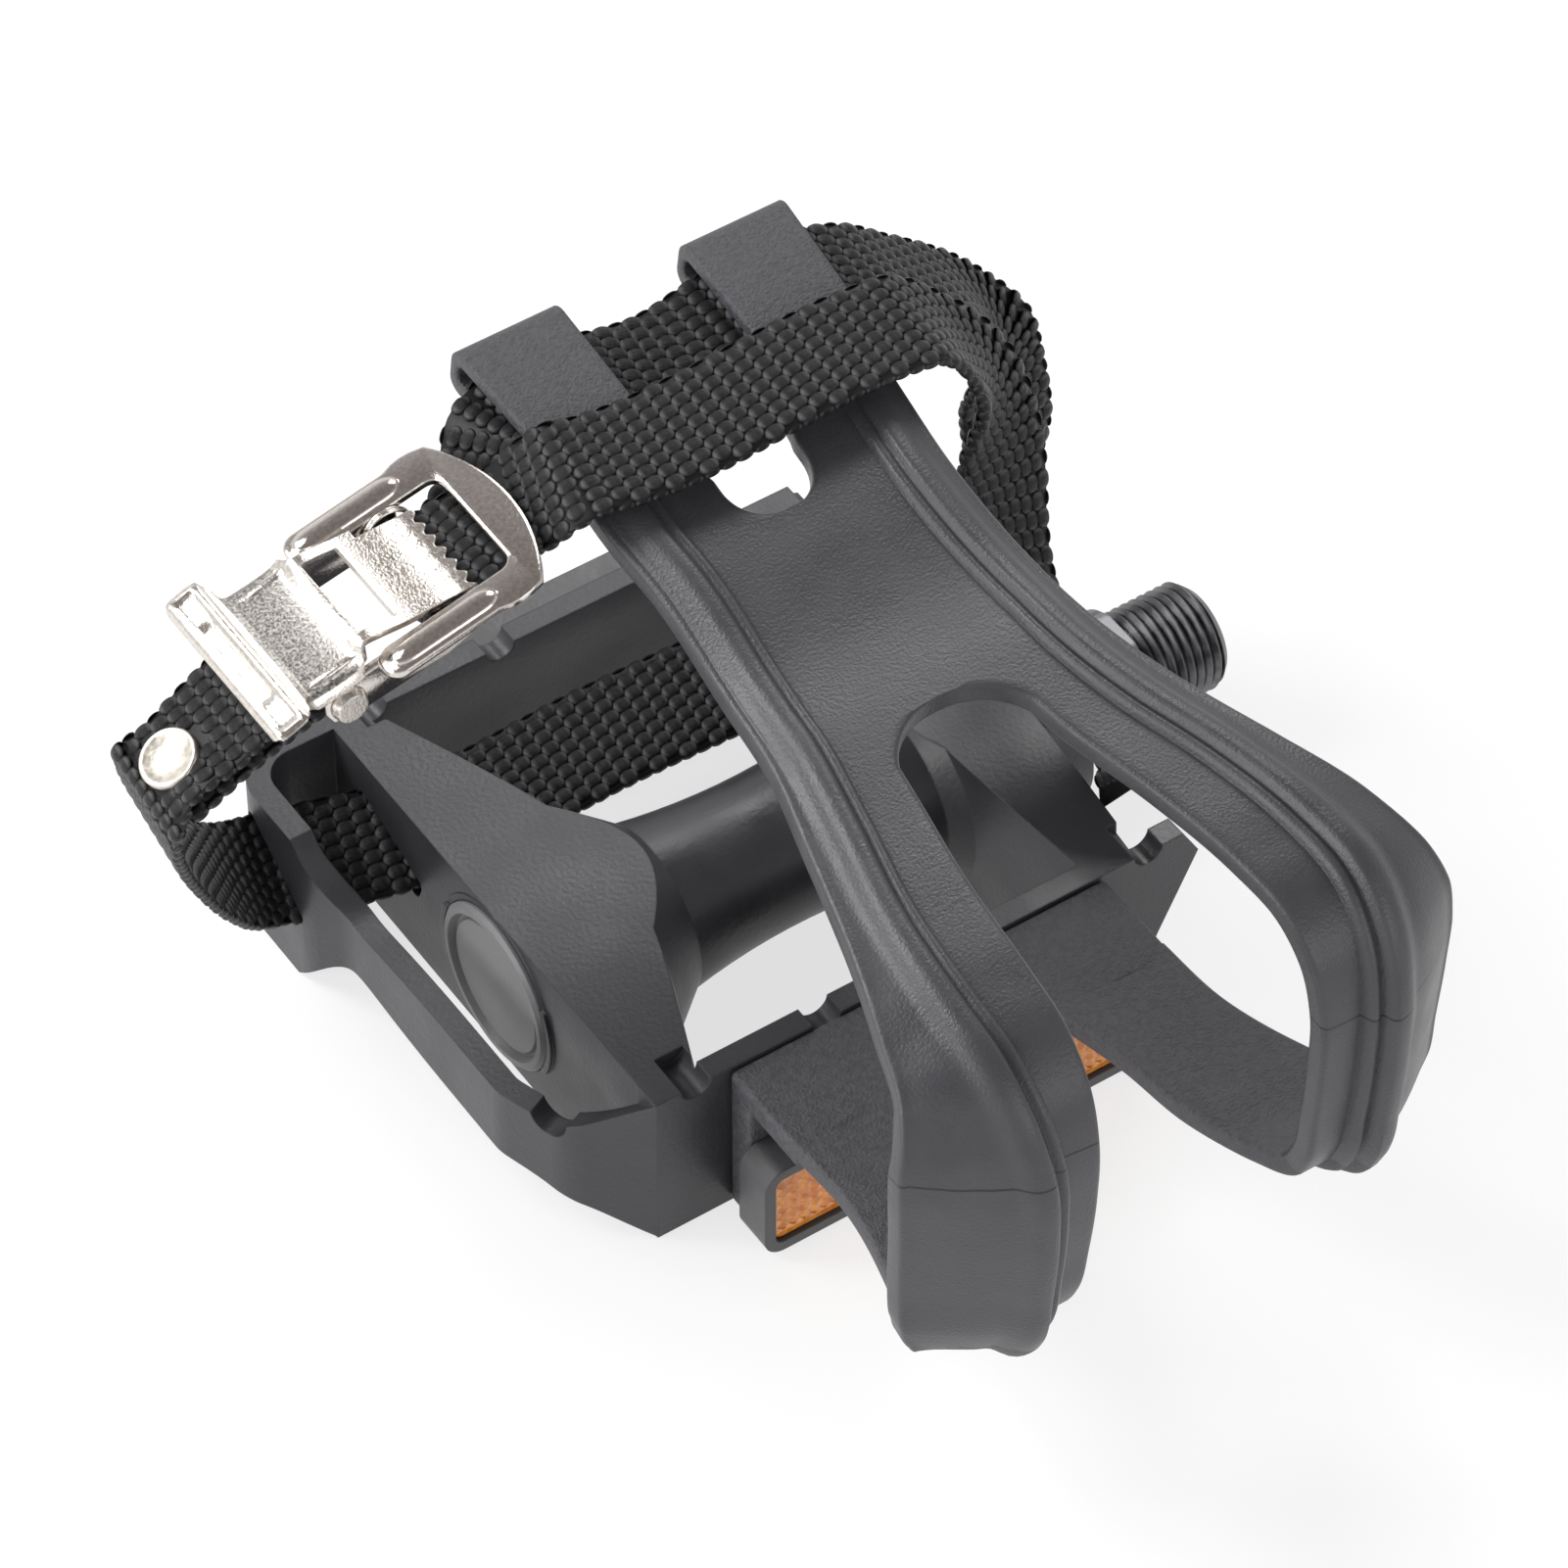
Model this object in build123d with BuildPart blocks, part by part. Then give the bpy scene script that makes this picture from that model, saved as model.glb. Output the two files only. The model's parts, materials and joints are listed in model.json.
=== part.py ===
from build123d import *
from math import cos, sin, radians
import os

os.makedirs("parts", exist_ok=True)

# The spindle's axis is X with the crank's face at x = 0, the toe points to -Y and Z is up.

# Spindle and bearings
thread_radius = 7.145
thread_length = 11.0
thread_chamfer = 1.0
relief_radius = 6.3
relief_width = 0.8
wrench_radius = 8.4
wrench_flats = 15.0
wrench_end = -9.0
spindle_tip_radius = 4.0
tip_start = -76.0
ball_radius = 1.985
race_gap = 0.115
ball_count = 10
inner_ball_x = -20.5
inner_pitch = 7.4
outer_set = 10.0
outer_pitch = 6.8
race_near = 0.8
race_far = 2.7
race_step = 0.4
cup_wall = 0.7
seat_gap = 0.02
seal_gap = 0.35
thread_gap = 0.02
tip_gap = 0.4
facet_share = 0.9

# Pedal body
half_height = 12.0
front_face = -34.0
rear_face = 38.8
wall = 3.0
left_face = -101.6
corner_face = -104.0
corner_radius = 7.0
plate_left = -90.5
web_face = -90.5
boss_end = -13.0
inner_web_face = -20.0
barrel_radius = 9.6
barrel_flare = 12.0
bore_radius = 7.0
notch_radius = 2.0
plate_notches = (-85.0, -67.0, -21.5)
over = 1.0
front_end = ((-16.5, half_height), (-14.1, 7.8), (-19.35, -3.6), (-22.8, -half_height))
band_start = front_face - 0.4
band_rise = 24.0
band_profile = (
    (band_start, half_height + 0.2), (-31, 9.4), (-27.3, 6.6), (-20, 5.4), (8, 4.6), (16, 5),
    (20.4, 8.8), (band_rise, half_height + 0.2),
)
band_corner = ((-98.6, -27), (left_face, -17.5), (left_face, 15.5), (corner_face, 21))
corner_notch = (-99.4, -24.6, 6.2)
corner_notch_way = (-0.9, -0.44, 0)
corner_notch_radius = 2.6
plate_right = -5.0
bore_length = 90.0
bore_middle = -52.0

# Dust cap
cap_radius = 11.0
cap_face = -91.4
cap_seat = -90.0
boss_radius = 12.0
boss_face = -91.0

# Toe clip
clip_x = -54.2
clip_wall = 3.0
bead_offset = 6.4
bead_half = 3.4
bead_crest = 2.1
shelf_top = 11.6
shelf_half = 26.3
flange_depth = 4.2
flange_bottom = -11.6
arch_radius = 9.8
arch_share = -0.5346
notch_width = 5.5
notch_y = -2.0
clip_reach = 86.8
clip_height = 72.0
# Shares of the reach and height, then inner and outer half-width, bead and set-back of the outer edge
arm_stations = (
    (-0.53, 0.1194, 9.4, 26.3, 0.1, 0),
    (-0.6567, 0.1194, 12, 26.6, 0.1, 0),
    (-0.7834, 0.1194, 12.8, 29.5, 0.1, 0),
    (-0.8871, 0.125, 16, 33.5, 0.6, 0.5),
    (-0.9482, 0.1583, 17.2, 34.5, 1.5, 2.5),
    (-0.977, 0.225, 17.3, 35.2, 2.2, 4),
    (-0.9908, 0.3333, 17, 36, 2.5, 5),
    (-1, 0.4722, 16.7, 37, 2.5, 5.5),
    (-0.9977, 0.5903, 16.5, 37.6, 2.5, 5.5),
    (-0.97, 0.6944, 16, 36.9, 2.5, 4.5),
    (-0.9101, 0.7681, 15.4, 35.2, 2.4, 2.5),
    (-0.818, 0.8, 14.4, 33.2, 2.2, 1),
    (-0.6797, 0.8222, 12, 28.4, 2.2, 0),
    (-0.5415, 0.8389, 9.6, 24.5, 2.2, 0),
    (-0.4147, 0.8569, 8, 21.6, 2, 0),
    (-0.2765, 0.8736, 6.5, 20.3, 1.8, 0),
    (-0.1198, 0.9167, 5.2, 19.6, 1.6, 0),
    (-0.0058, 0.9472, 5.7, 20.2, 1.2, 0),
    (0.1037, 0.9931, 6.8, 20.4, 0.6, 0),
    (0.1221, 1, 7.0, 20.4, 0.1, 0),
)
loop_y = 18.6
loop_rise = 1.7
loop_tilt = 8.0
loop_length = 19.0
loop_roof = 1.9
loop_slot = 3.0
loop_floor = 2.0
loop_end_wall = 1.7
loop_inner = 8.4
loop_outer = 22.4
loop_taper = 20.4

# Fasteners of the clip
screw_spread = 17.0
screw_z = -4.5
screw_radius = 2.4
screw_head = 4.4
screw_gap = 0.15
head_recess = 0.2
screw_tip = -25.6
nut_flats = 8.0
nut_depth = 3.6

# Reflectors
reflector_x = -55.0
reflector_length = 54.0
reflector_height = 14.5
reflector_depth = 5.4
reflector_corner = 2.8
reflector_wall = 1.5
reflector_floor = 1.6
lens_gap = 0.2
lens_recess = 0.7
front_reflector_z = -4.75
rear_reflector_z = 1.75
peg_radius = 1.5
peg_length = 2.6
peg_spread = 8.5
peg_gap = 0.05

# Strap and buckle
strap_width = 12.5
strap_thickness = 1.5
strap_gap = 0.2
slot_width = 14.6
slot_height = 3.6
cage_strap = (24.0, 2.5)
cage_roll = 20.0
band_slot = (28.6, 2.2)
band_roll = 38.0
buckle_x = -81.0
buckle_y = 9.0
buckle_drop = 3.5
buckle_slope = 13.0
sheet = 1.2
frame_half = 13.0
frame_length = 24.0
d_bar = 5.0
window_half = 8.0
flange_gap = 0.2
flange_foot = -6.0
pin_u = 28.9
pin_w = -3.0
pin_radius = 1.3
pin_head = 2.3
bar_u = 14.0
bar_w = -3.9
bar_radius = 0.9
pin_gap = 0.05
lever_sheet = 0.9
ear_inner = 6.6
tab_half = 12.5
jaw_u = 9.5
tooth_count = 6
tooth_radius = 0.7
rivet_u = 47.6
rivet_radius = 1.4
rivet_head = 3.7
rivet_washer_radius = 3.3
spring_wire = 0.25
spring_turns = 2.0
spring_pitch = 0.56

loop_top = clip_height + loop_rise
buckle_origin = (buckle_x, buckle_y, loop_top - buckle_drop)
u_dir = Vector(-cos(radians(buckle_slope)), 0, -sin(radians(buckle_slope)))
w_dir = Vector(-sin(radians(buckle_slope)), 0, cos(radians(buckle_slope)))
buckle_plane = Plane(origin=buckle_origin, x_dir=u_dir, z_dir=w_dir)
buckle_side = Plane(origin=buckle_origin, x_dir=u_dir, z_dir=(0, 1, 0))
spindle_end = cap_seat + tip_gap
outer_ball_x = cap_seat + outer_set
cup_in = inner_pitch + ball_radius + race_gap
inner_cup_radius = cup_in + cup_wall
cup_out = outer_pitch + ball_radius + race_gap
outer_cup_radius = cup_out + cup_wall
inner_cone_radius = inner_pitch - ball_radius - race_gap
outer_cone_radius = outer_pitch - ball_radius - race_gap
seat_radius = inner_pitch - race_step
cavity_length = reflector_length - 2 * reflector_wall
cavity_height = reflector_height - 2 * reflector_wall
cavity_corner = reflector_corner - reflector_wall
lens_depth = reflector_depth - reflector_floor - lens_recess
peg_places = (reflector_x - peg_spread, reflector_x + peg_spread)
screw_places = [(clip_x + side * screw_spread, screw_z) for side in (-1, 1)]


def buckle_point(u, w, y=buckle_y):
    point = Vector(*buckle_origin) + u_dir * u + w_dir * w
    return Vector(point.X, y, point.Z)


def wrap(u, w, radius, first, last, steps):
    turns = [first + (last - first) * i / steps for i in range(steps + 1)]
    return [(u + radius * cos(radians(a)), w + radius * sin(radians(a))) for a in turns]


with BuildPart() as spindle:
    with BuildSketch(Plane.XY):
        with BuildLine():
            Polyline(
                (thread_length, 0),
                (thread_length, thread_radius - thread_chamfer),
                (thread_length - thread_chamfer, thread_radius),
                (0, thread_radius),
                (0, relief_radius),
                (-relief_width, relief_radius),
                (-relief_width, wrench_radius - 0.4),
                (-relief_width - 0.4, wrench_radius),
                (wrench_end, wrench_radius),
                (wrench_end, seat_radius),
                (inner_ball_x + race_far, seat_radius),
                (inner_ball_x + race_near, inner_cone_radius),
                (inner_ball_x - 5.5, inner_cone_radius),
                (tip_start, spindle_tip_radius + 0.4),
                (tip_start, spindle_tip_radius),
                (spindle_end + 0.6, spindle_tip_radius),
                (spindle_end, spindle_tip_radius - 0.6),
                (spindle_end, 0),
                close=True,
            )
        make_face()
    revolve(axis=Axis.X)
    flat_cut = wrench_radius - wrench_flats / 2
    flat_span = wrench_end + relief_width
    with Locations((flat_span / 2 - relief_width, 0, 0)):
        with Locations(
            (0, 0, wrench_flats / 2 + flat_cut / 2), (0, 0, -wrench_flats / 2 - flat_cut / 2)
        ):
            Box(-flat_span, 2 * wrench_radius, flat_cut, mode=Mode.SUBTRACT)

with BuildPart() as inner_bearing_cup:
    cup_back = inner_ball_x - race_far - 1.2
    with BuildSketch(Plane.XY):
        with BuildLine():
            Polyline(
                (inner_ball_x + 4.5, cup_in),
                (inner_ball_x + 4.5, inner_cup_radius),
                (cup_back, inner_cup_radius),
                (cup_back, inner_pitch + race_step),
                (inner_ball_x - race_far, inner_pitch + race_step),
                (inner_ball_x - race_near, cup_in),
                close=True,
            )
        make_face()
    revolve(axis=Axis.X)

with BuildPart() as outer_bearing_cup:
    outer_back = outer_ball_x + race_far + 1.3
    with BuildSketch(Plane.XY):
        with BuildLine():
            Polyline(
                (outer_ball_x - 4, cup_out),
                (outer_ball_x - 4, outer_cup_radius),
                (outer_back, outer_cup_radius),
                (outer_back, outer_pitch + race_step),
                (outer_ball_x + race_far, outer_pitch + race_step),
                (outer_ball_x + race_near, cup_out),
                close=True,
            )
        make_face()
    revolve(axis=Axis.X)

# One ball with eighteen facets, as the hidden races need no finer one
with BuildPart() as ball:
    across_flats = 2 * facet_share * ball_radius
    Box(across_flats, across_flats, across_flats)
    for turn in ((45, 0, 0), (0, 45, 0), (0, 0, 45)):
        Box(across_flats, across_flats, across_flats, rotation=turn, mode=Mode.INTERSECT)

with BuildPart() as inner_balls:
    with Locations(Plane.YZ.offset(inner_ball_x)):
        with PolarLocations(inner_pitch, ball_count):
            add(ball.part)

with BuildPart() as outer_balls:
    with Locations(Plane.YZ.offset(outer_ball_x)):
        with PolarLocations(outer_pitch, ball_count):
            add(ball.part)

cone_back = outer_ball_x - race_far - 2.9
with BuildPart() as outer_cone:
    cone_bore = spindle_tip_radius + thread_gap
    with BuildSketch(Plane.XY):
        with BuildLine():
            Polyline(
                (outer_ball_x + 0.6, cone_bore),
                (outer_ball_x + 0.6, outer_cone_radius),
                (outer_ball_x - race_near, outer_cone_radius),
                (outer_ball_x - race_far, outer_pitch - race_step),
                (cone_back, outer_pitch - race_step),
                (cone_back, cone_bore),
                close=True,
            )
        make_face()
    revolve(axis=Axis.X)

washer_depth = 0.9
with BuildPart() as keyed_washer:
    with BuildSketch(Plane.YZ.offset(cone_back)):
        Circle(outer_pitch + race_step)
        Circle(spindle_tip_radius + thread_gap, mode=Mode.SUBTRACT)
    extrude(amount=-washer_depth)

with BuildPart() as lock_nut:
    with BuildSketch(Plane.YZ.offset(cone_back - washer_depth)):
        RegularPolygon(6.0, 6, major_radius=False)
        Circle(spindle_tip_radius + thread_gap, mode=Mode.SUBTRACT)
    extrude(amount=-2.9)

seal_end = boss_end - 0.2
with BuildPart() as inner_seal:
    with BuildSketch(Plane.YZ.offset(seal_end)):
        Circle(inner_cup_radius)
        Circle(seat_radius + seal_gap, mode=Mode.SUBTRACT)
    extrude(amount=inner_ball_x + 4.6 - seal_end)

with BuildPart() as dust_cap:
    skirt = outer_cup_radius
    with BuildSketch(Plane.XY):
        with BuildLine():
            Polyline(
                (cap_face + 0.5, 0),
                (cap_face + 0.5, 8.6),
                (cap_face + 0.9, 8.9),
                (cap_face + 0.9, 9.3),
                (cap_face, 9.7),
                (cap_face, cap_radius - 0.5),
                (cap_face + 0.5, cap_radius),
                (cap_seat, cap_radius),
                (cap_seat, skirt),
                (cap_seat + 2.4, skirt),
                (cap_seat + 2.4, skirt - 1),
                (cap_seat, skirt - 1),
                (cap_seat, 0),
                close=True,
            )
        make_face()
    revolve(axis=Axis.X)

with BuildPart() as pedal_body:
    # Trumpet-ended barrel, cut flat above and below
    with BuildSketch(Plane.XY) as hub_profile:
        with BuildLine():
            flare = ThreePointArc((-74.0, barrel_flare), (-52, barrel_radius), (-32.2, barrel_flare))
            Polyline(
                flare @ 1, (-28.8, 40), (-23.0, 40), (inner_web_face, 14), (inner_web_face, 0),
                (web_face, 0), (web_face, 40), (-86.4, 40), flare @ 0,
            )
        make_face()
        chamfer(hub_profile.vertices().sort_by_distance((-74.0, barrel_flare))[0], 5)
        chamfer(hub_profile.vertices().sort_by_distance((-32.2, barrel_flare))[0], 2)
    revolve(axis=Axis.X)
    with Locations((-55, 2.5, 0)):
        Box(80, 69, 2 * half_height, mode=Mode.INTERSECT)
    with BuildSketch(Plane.YZ.offset(boss_end)):
        Circle(boss_radius - 0.4)
    extrude(amount=inner_web_face - boss_end - 2)
    with BuildSketch(Plane.YZ.offset(web_face + 1)):
        Circle(boss_radius)
    extrude(amount=boss_face - web_face - 1)
    # Plates and outer band
    with BuildSketch(Plane.XY.offset(-half_height)) as ring:
        with BuildLine():
            Polyline(
                (plate_right, front_face), (plate_left, front_face), *band_corner,
                (corner_face, rear_face), (plate_right, rear_face), close=True,
            )
        make_face()
        fillet([v for v in ring.vertices() if v.X < plate_left - 1], corner_radius)
        offset(amount=-wall, mode=Mode.SUBTRACT)
    extrude(amount=2 * half_height)
    with Locations((plate_right - wall / 2, (front_face + rear_face) / 2, 0)):
        Box(wall + 0.4, rear_face - front_face - 2 * wall + 0.4, 2 * half_height, mode=Mode.SUBTRACT)
    beyond = half_height + over
    ends = [(front_end[0][0], beyond), *front_end, (front_end[-1][0], -beyond)]
    ends += [(0, -beyond), (0, beyond)]
    with BuildSketch(Plane.XZ.offset(-front_face - wall - 0.05)):
        with BuildLine():
            Polyline(*ends, close=True)
        make_face()
    extrude(amount=wall + over, mode=Mode.SUBTRACT)
    with BuildSketch(Plane.XZ.offset(-rear_face - over)):
        with BuildLine():
            Polyline(*[(x, -z) for x, z in ends], close=True)
        make_face()
    extrude(amount=wall + over + 0.05, mode=Mode.SUBTRACT)
    for side in (1, -1):
        with BuildSketch(Plane.YZ.offset(plate_left - 0.1)):
            with BuildLine():
                top = Spline(*[(y, side * h) for y, h in band_profile])
                Polyline(top @ 1, (band_rise, side * 2 * beyond), (band_start, side * 2 * beyond), top @ 0)
            make_face()
        extrude(amount=-16, mode=Mode.SUBTRACT)
    # Strap slots
    roll = radians(cage_roll)
    with BuildSketch(Plane((-93, *cage_strap), x_dir=(0, cos(roll), sin(roll)), z_dir=(1, 0, 0))):
        RectangleRounded(slot_width, slot_height, 1.2)
    extrude(amount=79, mode=Mode.SUBTRACT)
    roll = radians(band_roll)
    with BuildSketch(Plane((-107, *band_slot), x_dir=(0, cos(roll), sin(roll)), z_dir=(1, 0, 0))):
        RectangleRounded(slot_width, slot_height + 0.8, 1.2)
    extrude(amount=9.5, mode=Mode.SUBTRACT)
    # Grip notches in the upper edges
    with Locations(*[(x, 2.4, half_height) for x in plate_notches]):
        with Locations((0, front_face, 0), (0, rear_face - wall - 1, 0)):
            Cylinder(notch_radius, wall + 4, rotation=(90, 0, 0), mode=Mode.SUBTRACT)
    with Locations(Plane(corner_notch, z_dir=corner_notch_way)):
        Cylinder(corner_notch_radius, 4 * wall, mode=Mode.SUBTRACT)
    # Bores
    with Locations((bore_middle, 0, 0)):
        Cylinder(bore_radius, bore_length, rotation=(0, 90, 0), mode=Mode.SUBTRACT)
    with BuildSketch(Plane.YZ.offset(cup_back)):
        Circle(inner_cup_radius + seat_gap)
    extrude(amount=20, mode=Mode.SUBTRACT)
    with BuildSketch(Plane.YZ.offset(outer_back)):
        Circle(outer_cup_radius + seat_gap)
    extrude(amount=-20, mode=Mode.SUBTRACT)
    with BuildSketch(Plane.YZ.offset(cap_seat)):
        Circle(cap_radius + 0.1)
    extrude(amount=-4, mode=Mode.SUBTRACT)
    # Holes for the clip's screws and the rear reflector's pegs
    with Locations(*[(x, front_face, z) for x, z in screw_places]):
        Cylinder(screw_radius + screw_gap, 4 * wall, rotation=(90, 0, 0), mode=Mode.SUBTRACT)
    with Locations(*[(x, rear_face, rear_reflector_z) for x in peg_places]):
        Cylinder(peg_radius + peg_gap, 2 * peg_length, rotation=(90, 0, 0), mode=Mode.SUBTRACT)

flange_front = front_face - flange_depth
with BuildPart() as toe_clip:
    arm_line = [(y * clip_reach, z * clip_height) for y, z, *_ in arm_stations]
    for i, (_, _, near, far, bead, back) in enumerate(arm_stations):
        before = arm_line[max(i - 1, 0)]
        after = arm_line[min(i + 1, len(arm_line) - 1)]
        along = (0, after[0] - before[0], after[1] - before[1])
        mid = near + bead_offset
        with BuildSketch(Plane((clip_x, *arm_line[i]), x_dir=(1, 0, 0), z_dir=along)):
            Polygon(
                (near, 0), (mid - bead_half, 0), (mid - bead_crest, -bead), (mid + bead_crest, -bead),
                (mid + bead_half, 0), (far, back + 0.1), (far, back + clip_wall),
                (mid + bead_half, clip_wall - 0.2), (near, clip_wall), align=None,
            )
    loft(ruled=True)
    # Strap loop at the arm's end
    tilt = radians(loop_tilt)
    loop_depth = loop_roof + loop_slot + loop_floor
    loop_plane = Plane(
        (clip_x + loop_inner, loop_y, loop_top), x_dir=(0, cos(tilt), sin(tilt)), z_dir=(1, 0, 0)
    )
    with BuildSketch(loop_plane):
        with Locations((0, -loop_depth / 2)):
            RectangleRounded(loop_length, loop_depth, 2.0)
        with Locations((0.2, -loop_roof - loop_slot / 2)):
            RectangleRounded(loop_length - 2 * loop_end_wall, loop_slot, 1.0, mode=Mode.SUBTRACT)
    extrude(amount=loop_outer - loop_inner)
    with BuildSketch(Plane.XY.offset(loop_top + 5)):
        with Locations((clip_x, 0)):
            Polygon(
                (loop_taper, 8), (loop_outer + 0.1, 29), (loop_outer + 4, 29), (loop_outer + 4, 8),
                align=None,
            )
    extrude(amount=-20, mode=Mode.SUBTRACT)
    mirror(about=Plane.YZ.offset(clip_x))
    # Centre plate between the arch and the notch
    plate = arm_line[13:18]
    with BuildSketch(Plane.YZ.offset(clip_x)):
        with BuildLine():
            Polyline(*plate, *[(y + 0.4, z - clip_wall) for y, z in reversed(plate)], close=True)
        make_face()
    extrude(amount=10, both=True)
    with BuildSketch(Plane.XY.offset(loop_top - 24)):
        with Locations((clip_x, arch_share * clip_reach)):
            Circle(arch_radius)
        with Locations((clip_x, notch_y)):
            Circle(notch_width)
        with Locations((clip_x, notch_y + 5)):
            Rectangle(2 * notch_width, 10)
    extrude(amount=30, mode=Mode.SUBTRACT)
    # Shelf and the flange behind the reflector
    shelf_front = arm_line[0][0] - 2
    with BuildSketch(Plane.YZ.offset(clip_x)):
        with BuildLine():
            Polyline(
                (front_face, shelf_top), (shelf_front, shelf_top), (shelf_front, 8.0),
                (flange_front - 1.5, 3.6), (flange_front, 2.8), (flange_front, flange_bottom),
                (front_face, flange_bottom), close=True,
            )
        make_face()
    extrude(amount=shelf_half, both=True)
    head_hole = screw_head + head_recess + screw_gap
    with Locations(*[(x, flange_front, z) for x, z in screw_places]):
        with Locations(Location((0, 0, 0), (90, 0, 0))):
            CounterSinkHole(screw_radius + screw_gap, head_hole, 2 * flange_depth, 90)
    with Locations(*[(x, flange_front, front_reflector_z) for x in peg_places]):
        Cylinder(peg_radius + peg_gap, 2 * peg_length + 0.4, rotation=(90, 0, 0), mode=Mode.SUBTRACT)

head_face = flange_front + head_recess
with BuildPart() as clip_screws:
    for x, z in screw_places:
        with BuildSketch(Plane((x, 0, z))):
            with BuildLine():
                Polyline(
                    (0, head_face), (screw_head, head_face),
                    (screw_radius, head_face + screw_head - screw_radius),
                    (screw_radius, screw_tip), (0, screw_tip), close=True,
                )
            make_face()
        revolve(axis=Axis((x, 0, z), (0, 1, 0)))
    with BuildSketch(Plane.XZ.offset(-head_face)):
        with Locations(*screw_places):
            RegularPolygon(1.5, 6, major_radius=False)
    extrude(amount=-1.6, mode=Mode.SUBTRACT)

with BuildPart() as clip_nuts:
    with BuildSketch(Plane.XZ.offset(-front_face - wall)):
        with Locations(*screw_places):
            RegularPolygon(nut_flats / 2, 6, major_radius=False)
            Circle(screw_radius + thread_gap, mode=Mode.SUBTRACT)
    extrude(amount=-nut_depth)

with BuildPart() as reflector_housing:
    with BuildSketch(Plane.XZ.offset(-flange_front)):
        with Locations((reflector_x, front_reflector_z)):
            RectangleRounded(reflector_length, reflector_height, reflector_corner)
    extrude(amount=reflector_depth)
    with BuildSketch(Plane.XZ.offset(-flange_front + reflector_floor)):
        with Locations((reflector_x, front_reflector_z)):
            RectangleRounded(cavity_length, cavity_height, cavity_corner)
    extrude(amount=reflector_depth, mode=Mode.SUBTRACT)
    with BuildSketch(Plane.XZ.offset(-flange_front)):
        with Locations(*[(x, front_reflector_z) for x in peg_places]):
            Circle(peg_radius)
    extrude(amount=-peg_length)

with BuildPart() as reflector_lens:
    with BuildSketch(Plane.XZ.offset(-flange_front + reflector_floor)):
        with Locations((reflector_x, front_reflector_z)):
            RectangleRounded(cavity_length - 2 * lens_gap, cavity_height - 2 * lens_gap, cavity_corner)
    extrude(amount=lens_depth)

with BuildPart() as rear_reflector_housing:
    with BuildSketch(Plane.XZ.offset(-rear_face)):
        with Locations((reflector_x, rear_reflector_z)):
            RectangleRounded(reflector_length, reflector_height, reflector_corner)
    extrude(amount=-reflector_depth)
    with BuildSketch(Plane.XZ.offset(-rear_face - reflector_floor)):
        with Locations((reflector_x, rear_reflector_z)):
            RectangleRounded(cavity_length, cavity_height, cavity_corner)
    extrude(amount=-reflector_depth, mode=Mode.SUBTRACT)
    with BuildSketch(Plane.XZ.offset(-rear_face)):
        with Locations(*[(x, rear_reflector_z) for x in peg_places]):
            Circle(peg_radius)
    extrude(amount=peg_length)

with BuildPart() as rear_reflector_lens:
    with BuildSketch(Plane.XZ.offset(-rear_face - reflector_floor)):
        with Locations((reflector_x, rear_reflector_z)):
            RectangleRounded(cavity_length - 2 * lens_gap, cavity_height - 2 * lens_gap, cavity_corner)
    extrude(amount=-lens_depth)

with BuildPart() as buckle_frame:
    with BuildSketch(buckle_plane.offset(-sheet)):
        with BuildLine():
            nose = ThreePointArc((4, frame_half), (0, 0), (4, -frame_half))
            Polyline(nose @ 1, (frame_length, -frame_half), (frame_length, frame_half), nose @ 0)
        make_face()
        with Locations((d_bar + frame_length / 2, 0)):
            Rectangle(frame_length, 2 * window_half, mode=Mode.SUBTRACT)
    extrude(amount=sheet)
    for side in (-1, 1):
        with BuildSketch(buckle_plane):
            with Locations((14.5, side * (window_half + frame_half) / 2)):
                SlotOverall(16, 2.2)
        extrude(amount=0.6)
        with BuildSketch(buckle_side.offset(-side * (window_half + flange_gap))):
            Polygon(
                (10, 0), (pin_u + 2.6, 0), (pin_u + 2.8, pin_w), (pin_u + 1.4, flange_foot + 0.2),
                (bar_u + 2, flange_foot), (11, flange_foot + 1), align=None,
            )
        extrude(amount=-side * sheet)
    with BuildSketch(buckle_side):
        with Locations((pin_u, pin_w)):
            Circle(pin_radius + pin_gap)
        with Locations((bar_u, bar_w)):
            Circle(bar_radius + pin_gap)
    extrude(amount=2 * frame_half, both=True, mode=Mode.SUBTRACT)

flange_outer = window_half + flange_gap + sheet
with BuildPart() as lever_pin:
    with BuildSketch(buckle_side):
        with Locations((pin_u, pin_w)):
            Circle(pin_radius)
    extrude(amount=flange_outer + 0.1, both=True)
    for side in (-1, 1):
        with BuildSketch(buckle_side.offset(side * (flange_outer + 0.1))):
            with Locations((pin_u, pin_w)):
                Circle(pin_head)
        extrude(amount=side * 1.1, taper=20)

with BuildPart() as roller_pin:
    with BuildSketch(buckle_side):
        with Locations((bar_u, bar_w)):
            Circle(bar_radius)
    extrude(amount=flange_outer + 0.2, both=True)

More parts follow.
